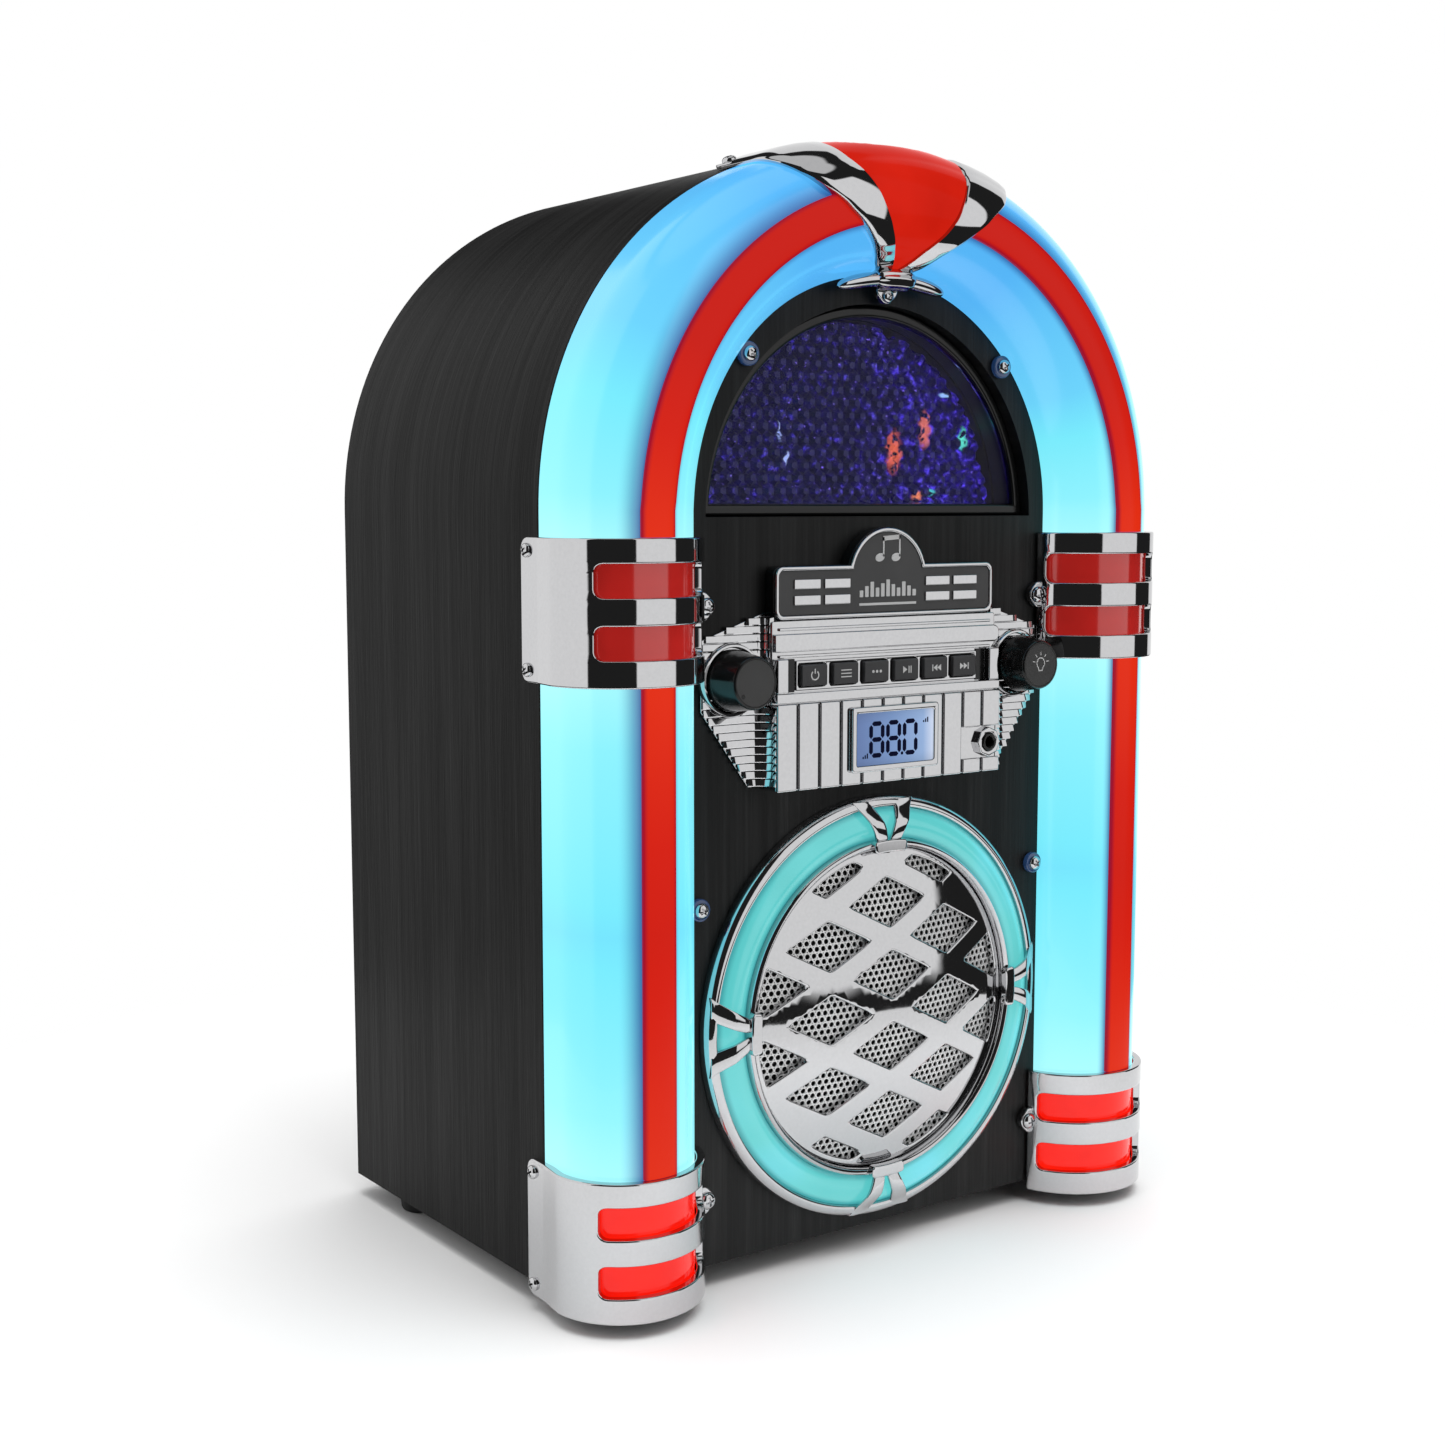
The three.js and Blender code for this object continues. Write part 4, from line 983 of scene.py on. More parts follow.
def crown():
    horn("crown_horn_left", -1, ["crown_frame"])
    horn("crown_horn_right", 1, [])
    rings = []
    for s in steps_between(tube_end(0, 6.0), tube_rear(17), 72):
        inner = along_edge(HORN_INNER, crown_radius(s)) - 0.15
        across = steps_between(-1, 1, 24)
        top = [crown_point(s, crown_rise(s) + 0.2 * (1 - t * t), inner * t, 1.4) for t in across]
        rings.append(top + [crown_point(s, 0.4, inner * t, 1.8) for t in reversed(across)])
    loft("crown_keystone", rings, CROWN_RED, hides=["crown_wedge"])
    crown_clip()
    for side, name in SIDES:
        a = math.radians(side * 22.6)
        across = Vector((math.cos(a), 0, -math.sin(a)))
        out = Vector((math.sin(a), 0, math.cos(a)))
        middle = Vector((0, 0, SPRING)) + out * (R + 0.3)

        def bend(u, depth, v):
            return middle + across * u + out * (1.5 - depth) + Vector((0, v, 0))

        bent(f"crown_foot_{name}", [rectangle(-4.2, 4.2, 12, 24.5, 3.5)], 1.5, CHROME, bend, edge=0.4)
        screw(f"crown_foot_screw_{name}", middle + out * 1.5 + Vector((0, 19.8, 0)), out, 1.0, 15)


def crown_clip():
    """The curved bar at the crown's foot, its ribbed sleeve and its screwed ear."""
    bar_r = 75.0

    def bar(name, half_angle, tall, deep, y, ribs):
        rings = []
        for t in steps_between(-1, 1, 40):
            a = math.radians(half_angle * t)
            girth = math.sqrt(max(1 - abs(t) ** 5, 0.02))
            ring = []
            for b in turns(48):
                swell = girth * (1 + ribs * math.cos(9 * b))
                reach = bar_r + tall * swell * math.sin(b)
                forward = y - deep * swell * math.cos(b)
                ring.append((reach * math.sin(a), forward, SPRING + reach * math.cos(a)))
            rings.append(ring)
        loft(name, rings, CHROME, sharp=60)

    bar("crown_clip_bar", 17.5, 2.5, 3.4, -6.2, 0)
    bar("crown_clip_sleeve", 6.6, 3.5, 4.4, -6.8, 0.045)
    corners = ((-4.4, 73.5, 1), (-4.4, 70.5, 3), (0, 66.2, 4), (4.4, 70.5, 3), (4.4, 73.5, 1))
    ear = [(x, SPRING + up, radius) for x, up, radius in corners]
    plate("crown_clip_ear", [rounded(ear, 1)], -4.4, -2.0, CHROME, edge=0.5)
    screw("crown_clip_screw", (0, -4.4, SPRING + 69.8), (0, -1, 0), 0.85, 40)


# ---------------- window


def window_outline(grow, steps=72):
    bottom = WINDOW_BOTTOM - grow
    radius = WINDOW_R + grow
    start = math.degrees(math.asin((bottom - WINDOW_Z) / radius))
    return arc(0, WINDOW_Z, radius, start, 180 - start, steps)


def window():
    front = BEZEL_LOW.y
    plate("window_frame", [window_outline(BEZEL), window_outline(0.2)], front, front + 3, GLOSS_BLACK,
          edge=1.0, edge_steps=4, hides=["window_bezel"])
    sleeve = [window_outline(BEZEL - 0.6), window_outline(0.1)]
    plate("window_sleeve", sleeve, front + 2.6, BEZEL_HIGH.y, SATIN_BLACK)
    pane = box_mm("window_lens")[0].y
    plate("window_pane", [window_outline(-0.1)], pane, pane + 1.5, CLEAR, edge=0.2, hides=["window_lens"])
    room_front, room_back = 14.6, 44
    plate("window_room_wall", [window_outline(1.5), window_outline(0.0)], room_front, room_back, SATIN_BLACK)
    plate("window_room_back", [window_outline(1.4)], room_back, room_back + 1.5, SATIN_BLACK)
    prisms()


def held(x, y, z):
    """A point of the reflector, pulled in to the round edge of the sheet."""
    share = min(1, (WINDOW_R - 0.2) / math.hypot(x, z - WINDOW_Z))
    return x * share, y, WINDOW_Z + (z - WINDOW_Z) * share


def prisms():
    """The reflector: a sheet of six-sided prisms that fills the window's back."""
    pitch, depth, height = 4.9, 18.5, 1.6
    reach = pitch / math.sqrt(3)
    bm = bmesh.new()
    for x, up in hexagons(pitch, WINDOW_R):
        z = WINDOW_BOTTOM + up
        if up < 0 or math.hypot(x, z - WINDOW_Z) > WINDOW_R + 1.0:
            continue
        foot, top = [], []
        for k in range(6):
            a = math.radians(30 + 60 * k)
            for store, r, y in ((foot, reach, depth), (top, reach * 0.45, depth - height)):
                store.append(bm.verts.new(held(x + r * math.cos(a), y, z + r * math.sin(a))))
        for k in range(6):
            bm.faces.new([foot[k - 1], foot[k], top[k], top[k - 1]])
        bm.faces.new(top)
    bmesh.ops.remove_doubles(bm, verts=bm.verts, dist=0.01)
    bmesh.ops.solidify(bm, geom=bm.faces[:], thickness=1.0)
    settle("window_prisms", mesh_of(bm, "window_prisms"), REFLECTOR, hides=["reflector"], sharp=10)


# ---------------- control panel

PANEL_HALF = 48.6
BLOCK_LOW, BLOCK_TOP, BODY_TOP = 155.6, 183.9, 210.6
BLOCK_FRONT, BODY_FRONT = -9.3, -6.0
WING_EDGE = ((PANEL_HALF, 213), (73, 205), (73, 182.4), (54.4, 157.0))
LOUVRE_PITCH, LOUVRE_LOW, LOUVRES = 2.6, 157.3, 21
BUTTON_NAMES = ("power", "function", "program", "play", "previous", "next")


def wing_reach(z):
    """How far the wing reaches at a height."""
    for (xa, za), (xb, zb) in zip(WING_EDGE, WING_EDGE[1:]):
        if zb <= z <= za:
            return xa + (xb - xa) * (za - z) / (za - zb)
    return PANEL_HALF


def louvre(name, side, z):
    """One rib of a wing: it leaves the panel's body in a curve, then runs flat out to its own tip."""
    reach = wing_reach(z + LOUVRE_PITCH / 2) - 0.4
    lower = z + LOUVRE_PITCH < BLOCK_TOP + 1
    front = BLOCK_FRONT if lower else BODY_FRONT
    spread = min(8.5 if lower else 3.2, reach - PANEL_HALF)
    flat, lowest = -1.5, -0.35
    line = []
    for t in steps_between(0, 90, 10):
        a = math.radians(t)
        x = PANEL_HALF - 0.4 + spread * (1 - math.cos(a))
        line.append((x, front + 0.6 + (flat - front - 0.6) * math.sin(a)))
    if reach - line[-1][0] > 1.5:
        line += [(x, flat) for x in steps_between(line[-1][0], reach, 8)[1:]]
    rings = []
    for i, (x, y) in enumerate(line):
        before, after = line[max(i - 1, 0)], line[min(i + 1, len(line) - 1)]
        tangent = Vector((after[0] - before[0], after[1] - before[1])).normalized()
        out = Vector((tangent.y, -tangent.x))
        taper = 0.35 if i == len(line) - 1 else 1.0
        foot, head = (1.15, 0.5) if lower else (0.95, 0.75)
        profile = [(-0.9, 0.0), (foot * taper - 0.1, 0.12), (foot * taper, 0.35),
                   (head * taper, LOUVRE_PITCH - 0.3), (-0.9, LOUVRE_PITCH - 0.05)]
        rings.append([(side * (x + out.x * o), min(y + out.y * o, lowest), z + up) for o, up in profile])
    loft(name, rings, CHROME, sharp=25)


def wings():
    knobs = [(side * abs(KNOB.x), KNOB.z) for side in (-1, 1)]
    outline = rounded([*WING_EDGE, *((-x, z) for x, z in reversed(WING_EDGE))], 0.8)
    holes = [circle(x, z, 5.2, 32) for x, z in knobs]
    plate("wing_plate", [outline, *holes], -1.1, ON_PANEL, CHROME, edge=0.2, hides=["control_panel"])
    ring = [(10.5, -1.2), (10.5, -3.3), (10.8, -3.7), (11.4, -3.6), (11.9, -2.8), (12.0, -1.2)]
    for (side, name), at in zip(SIDES, knobs):
        for i in range(LOUVRES):
            z = LOUVRE_LOW + i * LOUVRE_PITCH
            if wing_reach(z + LOUVRE_PITCH / 2) - PANEL_HALF > 2.5:
                louvre(f"louvre_{name}_{i}", side, z)
        turned(f"knob_ring_{name}", ring, CHROME, *at, 64)


def on_body(name, outlines, front, finish=CHROME, **options):
    """A part that stands on the upper half of the panel."""
    plate(name, outlines, front, BODY_FRONT + 0.1, finish, **options)


def panel_body():
    middles = [middle_mm(f"button_{name}").x for name in BUTTON_NAMES]
    holes = [box_round(x, KNOB.z + 0.6, 5.6, 3.8, 0.5, 3) for x in middles]
    outline = rectangle(-PANEL_HALF, PANEL_HALF, BLOCK_TOP - 0.5, BODY_TOP, 0.8)
    plate("panel_upper", [outline, *holes], BODY_FRONT, ON_PANEL, CHROME, edge=0.35)
    on_body("button_surround", [rectangle(-39.4, 39.4, 187.9, 197.7, 0.5), *holes], BODY_FRONT - 1, edge=0.35)
    for side, name in SIDES:
        post = rectangle(*mirrored(side, 43.8, 48.4), 187.3, 198.5, 0.5)
        on_body(f"button_post_{name}", [post], -9.0, edge=0.5)
        recess = rectangle(*mirrored(side, 39.6, 43.6), 187.5, 198.3, 0.2)
        on_body(f"button_recess_{name}", [recess], BODY_FRONT - 0.4, GLOSS_BLACK, edge=0.1)
    ledges = (
        ("button_ledge", 48.6, 184.3, 187.3, -9.0),
        ("upper_line_low", 46.0, 198.6, 199.6, -6.8),
        ("upper_line_high", 46.0, 207.4, 208.4, -6.8),
    )
    for name, half, z0, z1, front in ledges:
        on_body(name, [rectangle(-half, half, z0, z1, 0.3)], front, edge=0.3)
    legend = rounded([(-48.2, 200.6, 0.6), (49.8, 200.6, 2.6), (49.8, 206.4, 2.6), (-48.2, 206.4, 0.6)], 1)
    on_body("legend_bar", [legend], -7.4, edge=0.45, hides=["legend_strip"])


def lower_block():
    """The lower half of the panel: a row of upright slats, cut round the socket."""
    jack = middle_mm("aux_jack")
    bore = circle(jack.x, jack.z, 3.2, 32)
    plate("panel_lower", [rectangle(-PANEL_HALF, PANEL_HALF, BLOCK_LOW, BLOCK_TOP, 0.8), bore],
          BLOCK_FRONT + 0.9, ON_PANEL, CHROME, edge=0.5)
    slat, pitch, count, clear = 8.0, 8.95, 11, 5.4
    for i in range(count):
        x = (i - (count - 1) / 2) * pitch
        a, b = max(x - slat / 2, -PANEL_HALF), min(x + slat / 2, PANEL_HALF)
        spans = [(BLOCK_LOW, BLOCK_TOP)]
        if a - 5 < jack.x < b + 5:
            spans = [(BLOCK_LOW, jack.z - clear), (jack.z + clear, BLOCK_TOP)]
        for k, (low, high) in enumerate(spans):
            outline = rectangle(a, b, low, high, 0.5)
            plate(f"slat_{i}_{k}", [outline], BLOCK_FRONT, BLOCK_FRONT + 1.2, CHROME, edge=0.4)
    rim = [circle(jack.x, jack.z, 5.2, 8), bore]
    plate("socket_boss", rim, BLOCK_FRONT - 1.1, BLOCK_FRONT + 1.2, CHROME, edge=0.4)
    collar = [(1.95, -9.0), (1.95, -10.5), (2.2, -10.8), (2.8, -10.8), (3.05, -10.5), (3.05, -9.0)]
    turned("socket_collar", collar, GLOSS_BLACK, jack.x, jack.z, 48)


SEGMENTS = {"8": "abcdefg", "0": "abcdef"}
SEGMENT_DEPTHS = (-10.48, -10.38)  # front and back of the display's dark marks


def digit(name, x, z, shown):
    """A seven-segment digit, 6.4 mm wide and 11.4 mm tall, its lower left corner at (x, z)."""
    wide, tall, thick = 5.0, 10.6, 1.55
    half = tall / 2
    bars = {
        "a": ((0, tall), (wide, tall)), "g": ((0, half), (wide, half)), "d": ((0, 0), (wide, 0)),
        "f": ((0, half), (0, tall)), "b": ((wide, half), (wide, tall)),
        "e": ((0, 0), (0, half)), "c": ((wide, 0), (wide, half)),
    }
    for key in SEGMENTS[shown]:
        start, end = (Vector(p) for p in bars[key])
        run = (end - start).normalized()
        out = Vector((-run.y, run.x)) * thick / 2
        start, end = start + run * 0.35, end - run * 0.35
        tip = run * thick / 2
        corners = [start, start + tip + out, end - tip + out, end, end - tip - out, start + tip - out]
        outline = [(x + p.x, z + p.y) for p in corners]
        plate(f"{name}_{key}", [outline], *SEGMENT_DEPTHS, SEGMENT_DARK)


def display():
    low, high = box_mm("lcd_frame")
    x, _, z = middle_mm("lcd_frame")
    half_x, half_z = 16.8, 8.7
    opening = box_round(x, z, half_x, half_z, 0.6, 3)
    outside = rectangle(low.x, high.x, low.z, high.z, 1.2)
    plate("display_frame", [outside, opening], -11.0, BLOCK_FRONT + 0.2, CHROME, edge=0.55, edge_steps=3,
          hides=["lcd_frame"])
    plate("display_glass", [box_round(x, z, half_x + 0.5, half_z + 0.5)], -10.4, -9.4, DISPLAY,
          hides=["lcd_module"])
    left, pitch = x - 10.6, 7.3
    for i, shown in enumerate("880"):
        digit(f"digit_{i}", left + i * pitch, z - 5.6, shown)
    dot = box_round(left + 2 * pitch - 1.05, z - 5.6, 0.5, 0.5, 0.2, 2)
    plate("digit_dot", [dot], *SEGMENT_DEPTHS, SEGMENT_DARK)
    for name, mark_x, mark_z in (("tune", x + 12.2, z + 4.2), ("mode", x - 14.2, z - 6.4)):
        for k in range(3):
            bar = rectangle(mark_x + k * 0.9, mark_x + k * 0.9 + 0.5, mark_z, mark_z + 0.7 + 0.5 * k)
            plate(f"display_{name}_{k}", [bar], *SEGMENT_DEPTHS, SEGMENT_DARK)


# ---------------- buttons and knobs


def arrow(x, z, size, direction=1):
    return [(x, z - size), (x + direction * size * 1.5, z), (x, z + size)]


def button_marks(name, x, z):
    """The outlines of a button's printed symbol."""
    if name == "power":
        ring = [arc(x, z, 1.7, 130, 410, 24) + arc(x, z, 1.25, 410, 130, 24)]
        return [ring, [rectangle(x - 0.22, x + 0.22, z + 0.5, z + 2.1)]]
    if name == "function":
        return [[rectangle(x - 2.2, x + 2.2, z + k - 0.18, z + k + 0.18)] for k in (-1.1, 0, 1.1)]
    if name == "program":
        return [[circle(x + k, z, 0.5, 16)] for k in (-1.6, 0, 1.6)]
    if name == "play":
        bars = [[rectangle(x + k, x + k + 0.4, z - 1.2, z + 1.2)] for k in (0.7, 1.6)]
        return [[arrow(x - 1.7, z, 1.2)], *bars]
    side = 1 if name == "next" else -1
    arrows = [[arrow(x + side * k, z, 1.1, side)] for k in (-2.2, -0.5)]
    a, b = sorted((x + side * 1.35, x + side * 1.75))
    return [*arrows, [rectangle(a, b, z - 1.1, z + 1.1)]]


def buttons():
    for name in BUTTON_NAMES:
        front = box_mm(f"button_{name}")[0].y
        x, _, z = middle_mm(f"button_{name}")
        body = f"{name}_button"
        plate(f"{name}_cap", [box_round(x, z, 5.3, 3.5, 0.6, 4)], front, -2.45, BUTTON_GREY, edge=0.45,
              edge_steps=3, body=body, hides=[f"button_{name}"])
        for k, outlines in enumerate(button_marks(name, x, z)):
            plate(f"{name}_mark_{k}", outlines, front - 0.05, front + 0.05, INK, body=body)


def knob(node, body, marked):
    """A tapered black knob with a duller face."""
    front, rear = (corner.y for corner in box_mm(node))
    x, _, z = middle_mm(node)
    skirt = [(3.3, rear), (9.7, rear), (10, rear - 0.3), (8.55, front + 0.9), (8.3, front + 0.3),
             (7.9, front), (7.5, front), (7.4, front + 0.2), (3.3, front + 5.2)]
    turned(f"{node}_skirt", skirt, GLOSS_BLACK, x, z, 96, body=body, hides=[node])
    face = [(0.01, front + 0.16), (7.4, front + 0.12), (7.45, front + 1.2), (0.01, front + 1.2)]
    turned(f"{node}_face", face, KNOB_FACE, x, z, 96, body=body)
    if marked:
        dimple = [circle(x - 4.8, z - 4.0, 0.7, 20)]
        plate(f"{node}_dimple", dimple, front + 0.04, front + 0.3, GLOSS_BLACK, body=body)
        return
    centre = Vector((x, z + 0.6))
    glass, inside = (arc(*centre, radius, -50, 230, 28) + [(x - half, z - low), (x + half, z - low)]
                     for radius, half, low in ((2.0, 1.0, 2.2), (1.65, 0.65, 1.85)))
    marks = {"lamp": [glass, inside]}
    for k in range(5):
        a = math.radians(10 + 40 * k)
        ray = Vector((math.cos(a), math.sin(a)))
        out = Vector((-ray.y, ray.x)) * 0.16
        start, end = centre + ray * 2.7, centre + ray * 3.9
        marks[f"ray_{k}"] = [[tuple(p) for p in (start - out, end - out, end + out, start + out)]]
    for name, outlines in marks.items():
        plate(f"{node}_{name}", outlines, front + 0.08, front + 0.2, INK, body=body)


# ---------------- sign

SIGN_HALF, SIGN_LOW, SIGN_HIGH, SIGN_FRONT = 47.3, 210.7, 228.2, -6.4
DOME_HALF, DOME_TOP = 16.2, 240.4


def sign_outline(inset):
    rise = DOME_TOP - SIGN_HIGH
    dome_r = (DOME_HALF**2 + rise**2) / (2 * rise)
    dome_z = DOME_TOP - dome_r
    top = SIGN_HIGH - inset
    start = math.degrees(math.asin((top - dome_z) / (dome_r - inset)))
    half, low, corner = SIGN_HALF - inset, SIGN_LOW + inset, 3 - inset * 0.6
    outline = arc(half - corner, low + corner, corner, -90, 0, 6)
    outline += arc(half - corner, top - corner, corner, 0, 90, 6)
    outline += arc(0, dome_z, dome_r - inset, start, 180 - start, 32)
    outline += arc(-half + corner, top - corner, corner, 90, 180, 6)
    outline += arc(-half + corner, low + corner, corner, 180, 270, 6)
    return outline


def sign():
    front = SIGN_FRONT
    plate("sign_case", [sign_outline(0)], front + 1.2, ON_PANEL, GLOSS_BLACK, edge=0.5, hides=["sign_frame"])
    plate("sign_border", [sign_outline(0.2), sign_outline(1.5)], front, front + 1.4, CHROME, edge=0.4)
    plate("sign_field", [sign_outline(1.6)], front + 0.55, front + 1.6, SIGN_DARK, edge=0.1,
          hides=["sign_plate"])
    for side, name in SIDES:
        for column, (x0, x1) in enumerate(((16.4, 27.2), (28.9, 39.7))):
            for row, z0 in enumerate((215.5, 220.7)):
                bar = rectangle(*mirrored(side, x0, x1), z0, z0 + 3.1, 0.25, 2)
                plate(f"sign_bar_{name}_{column}_{row}", [bar], front, front + 0.8, CHROME, edge=0.2)
    emblem()


def emblem():
    """A pair of joined quavers over a row of level bars: a plain musical sign."""
    marks = {}
    for k, x in enumerate((-3.6, 3.4)):
        marks[f"head_{k}"] = [(x + 1.9 * math.cos(a) - 0.35 * math.sin(a),
                               230.4 + 1.3 * math.sin(a) + 0.45 * math.cos(a)) for a in turns(24)]
        marks[f"stem_{k}"] = rectangle(x + 1.25, x + 1.85, 230.6, 237.2 + 0.5 * k)
    marks["beam"] = [(-2.35, 235.9), (5.25, 236.4), (5.25, 237.9), (-2.35, 237.4)]
    heights = (2.2, 3.6, 5.0, 3.0, 4.4, 5.6, 4.0, 2.8, 4.8, 3.4, 2.2)
    for i, height in enumerate(heights):
        x = (i - (len(heights) - 1) / 2) * 2.3
        marks[f"level_{i}"] = rectangle(x - 0.75, x + 0.75, 217.4, 217.4 + height, 0.2, 2)
    marks["line"] = rectangle(-12.4, 12.4, 214.6, 215.4)
    front, back = SIGN_FRONT + 0.4, SIGN_FRONT + 0.62
    for name, outline in marks.items():
        plate(f"emblem_{name}", [outline], front, back, INK)


# ---------------- speaker

LIT_OUT, LIT_IN, GRILLE_R = 68.6, 58.4, 55.2
GRILLE_RIM = 2.4  # plain metal round the openings
SMALLEST_OPENING = 30  # square millimetres; smaller cut-off diamonds are left closed
RIM_R = 73.0
DOME_FRONT, DOME_EDGE = -11.0, -4.4
DIAMOND_X, DIAMOND_Z = 25.5, 24.6


def dome_y(x, z):
    return DOME_FRONT + (DOME_EDGE - DOME_FRONT) * (x * x + z * z) / GRILLE_R**2


def speaker_rings():
    rim = [(LIT_OUT + 0.2, -0.3), (LIT_OUT + 0.2, -4.3), (LIT_OUT + 0.6, -4.8), (LIT_OUT + 1.4, -5.0),
           (LIT_OUT + 2.4, -4.8), (RIM_R - 1.0, -4.1), (RIM_R - 0.35, -3.2), (RIM_R, -2.0), (RIM_R, -0.3)]
    turned("speaker_rim", rim, CHROME, 0, SPEAKER_Z, 160, hides=["speaker_ring"], sharp=40)
    hub = [(GRILLE_R + 0.2, -0.3), (GRILLE_R + 0.2, -5.6), (GRILLE_R + 0.5, -6.6), (GRILLE_R + 1.1, -7.3),
           (LIT_IN - 1.6, -7.5), (LIT_IN - 0.9, -7.2), (LIT_IN - 0.4, -6.4), (LIT_IN - 0.2, -5.4),
           (LIT_IN - 0.2, -0.3)]
    turned("speaker_hub", hub, CHROME, 0, SPEAKER_Z, 144, sharp=40)
    lit = []
    for t in steps_between(0, 1, 12):
        lit.append((LIT_OUT + (LIT_IN - LIT_OUT) * t, -3.6 - 1.2 * t - 2.0 * math.sin(math.pi * t)))
    section = [(LIT_OUT, -0.3), *lit, (LIT_IN, -0.3)]

    def uv(i, j):
        return (LIT_OUT - section[j][0]) / (LIT_OUT - LIT_IN), i / 160

    turned("speaker_light", section, TURQUOISE, 0, SPEAKER_Z, 160, uv=uv, hides=["ring_light"])


def speaker_clip(index):
    """A forked clip across the lit ring: two curved legs that meet at a saddle on the inner ring."""
    turn = math.radians(90 * index)
    along = Vector((math.sin(turn), math.cos(turn)))
    side_way = Vector((math.cos(turn), -math.sin(turn)))

    for side, name in ((-1, "a"), (1, "b")):
        rings = []
        for t in steps_between(0, 1, 18):
            r = 55.8 + (RIM_R - 1.6 - 55.8) * t
            centre = side * (2.6 + 7.0 * t**1.5)
            half = 2.1 + 1.7 * t
            top = -7.6 - 1.4 * math.sin(math.pi * min(t * 1.15, 1)) + 3.0 * max(t - 0.55, 0) / 0.45
            ring = []
            for share, drop in ((-1, 1.6), (-1, 0.5), (-0.6, 0.0), (0.6, 0.0), (1, 0.5), (1, 1.6)):
                point = along * r + side_way * (centre + share * half)
                ring.append((point.x, top + drop, SPEAKER_Z + point.y))
            rings.append(ring)
        loft(f"speaker_clip_{index}_{name}", rings, CHROME, edge=0.25, sharp=40)

    def bend(x, depth, z):
        a = x / 56.4
        point = along * z * math.cos(a) + side_way * z * math.sin(a)
        return point.x, -9.2 + depth, SPEAKER_Z + point.y

    saddle = [rectangle(-7, 7, 54.2, 58.4, 1.3)]
    bent(f"speaker_saddle_{index}", saddle, 3, CHROME, bend, cuts_x=steps_between(-6, 6, 8), edge=0.6)


def diamond_centres():
    """Diamonds stand in columns, and every other column is moved up by half a step."""
    centres = []
    for column in range(-2, 3):
        shift = DIAMOND_Z / 2 if column % 2 == 0 else 0
        for row in range(-3, 3):
            x, z = column * DIAMOND_X, row * DIAMOND_Z + shift
            if math.hypot(x, z) < GRILLE_R + 1:
                centres.append((x, z))
    return centres


DIAMOND_HALF = Vector((16.6, 8.4))
FIRMNESS = 22  # the higher, the sharper a diamond's corners


def diamond_hole(x, z, grow, radius):
    """A round-cornered diamond kept inside a disc, the diamond grown outwards, as points round a middle."""
    centre = Vector((x, z))
    middle = centre * min(1, (radius - grow - 2.5) / centre.length)
    hole = []
    for angle in turns(72):
        ray = Vector((math.cos(angle), math.sin(angle)))
        across = ray.dot(middle)
        inverse = [1 / (math.sqrt(across**2 - middle.length_squared + radius**2) - across)]
        for sx, sz in ((1, 1), (1, -1), (-1, 1), (-1, -1)):
            normal = Vector((sx * DIAMOND_HALF.y, sz * DIAMOND_HALF.x)).normalized()
            gap = DIAMOND_HALF.x * abs(normal.x) + grow - normal.dot(middle - centre)
            inverse.append(max(0, ray.dot(normal)) / gap)
        hole.append(tuple(middle + ray / sum(value**FIRMNESS for value in inverse) ** (1 / FIRMNESS)))
    return hole


def area(outline):
    return abs(sum(a[0] * b[1] - b[0] * a[1] for a, b in zip(outline, outline[1:] + outline[:1]))) / 2


def within(x, z, outline):
    """Whether a point lies inside an outline."""
    inside = False
    for (xa, za), (xb, zb) in zip(outline, outline[1:] + outline[:1]):
        if (za > z) != (zb > z) and x < xa + (xb - xa) * (z - za) / (zb - za):
            inside = not inside
    return inside


def cover(bm, stack, depth):
    """Adds a flat face at a depth: the first outline less the others, in small triangles."""
    points, edges = [], []
    for outline in stack:
        first = len(points)
        points += [Vector(p) for p in outline]
        edges += [(first + k, first + (k + 1) % len(outline)) for k in range(len(outline))]
    pitch = 3.2
    count = int(GRILLE_R / pitch)
    for i in range(-count, count + 1):
        for j in range(-count, count + 1):
            x, z = (i + 0.5 * (j % 2)) * pitch, j * pitch
            if math.hypot(x, z) < GRILLE_R - 2 and not any(within(x, z, hole) for hole in stack[1:]):
                points.append(Vector((x, z)))
    verts, _, faces, *_ = delaunay_2d_cdt(points, edges, [], 0, 1e-5)
    made = [bm.verts.new((x, depth, z)) for x, z in verts]
    for face in faces:
        middle = sum((verts[k] for k in face), Vector((0, 0))) / len(face)
        if not any(within(*middle, hole) for hole in stack[1:]):
            bm.faces.new([made[k] for k in face])
    for vert in made:
        if not vert.link_faces:
            bm.verts.remove(vert)


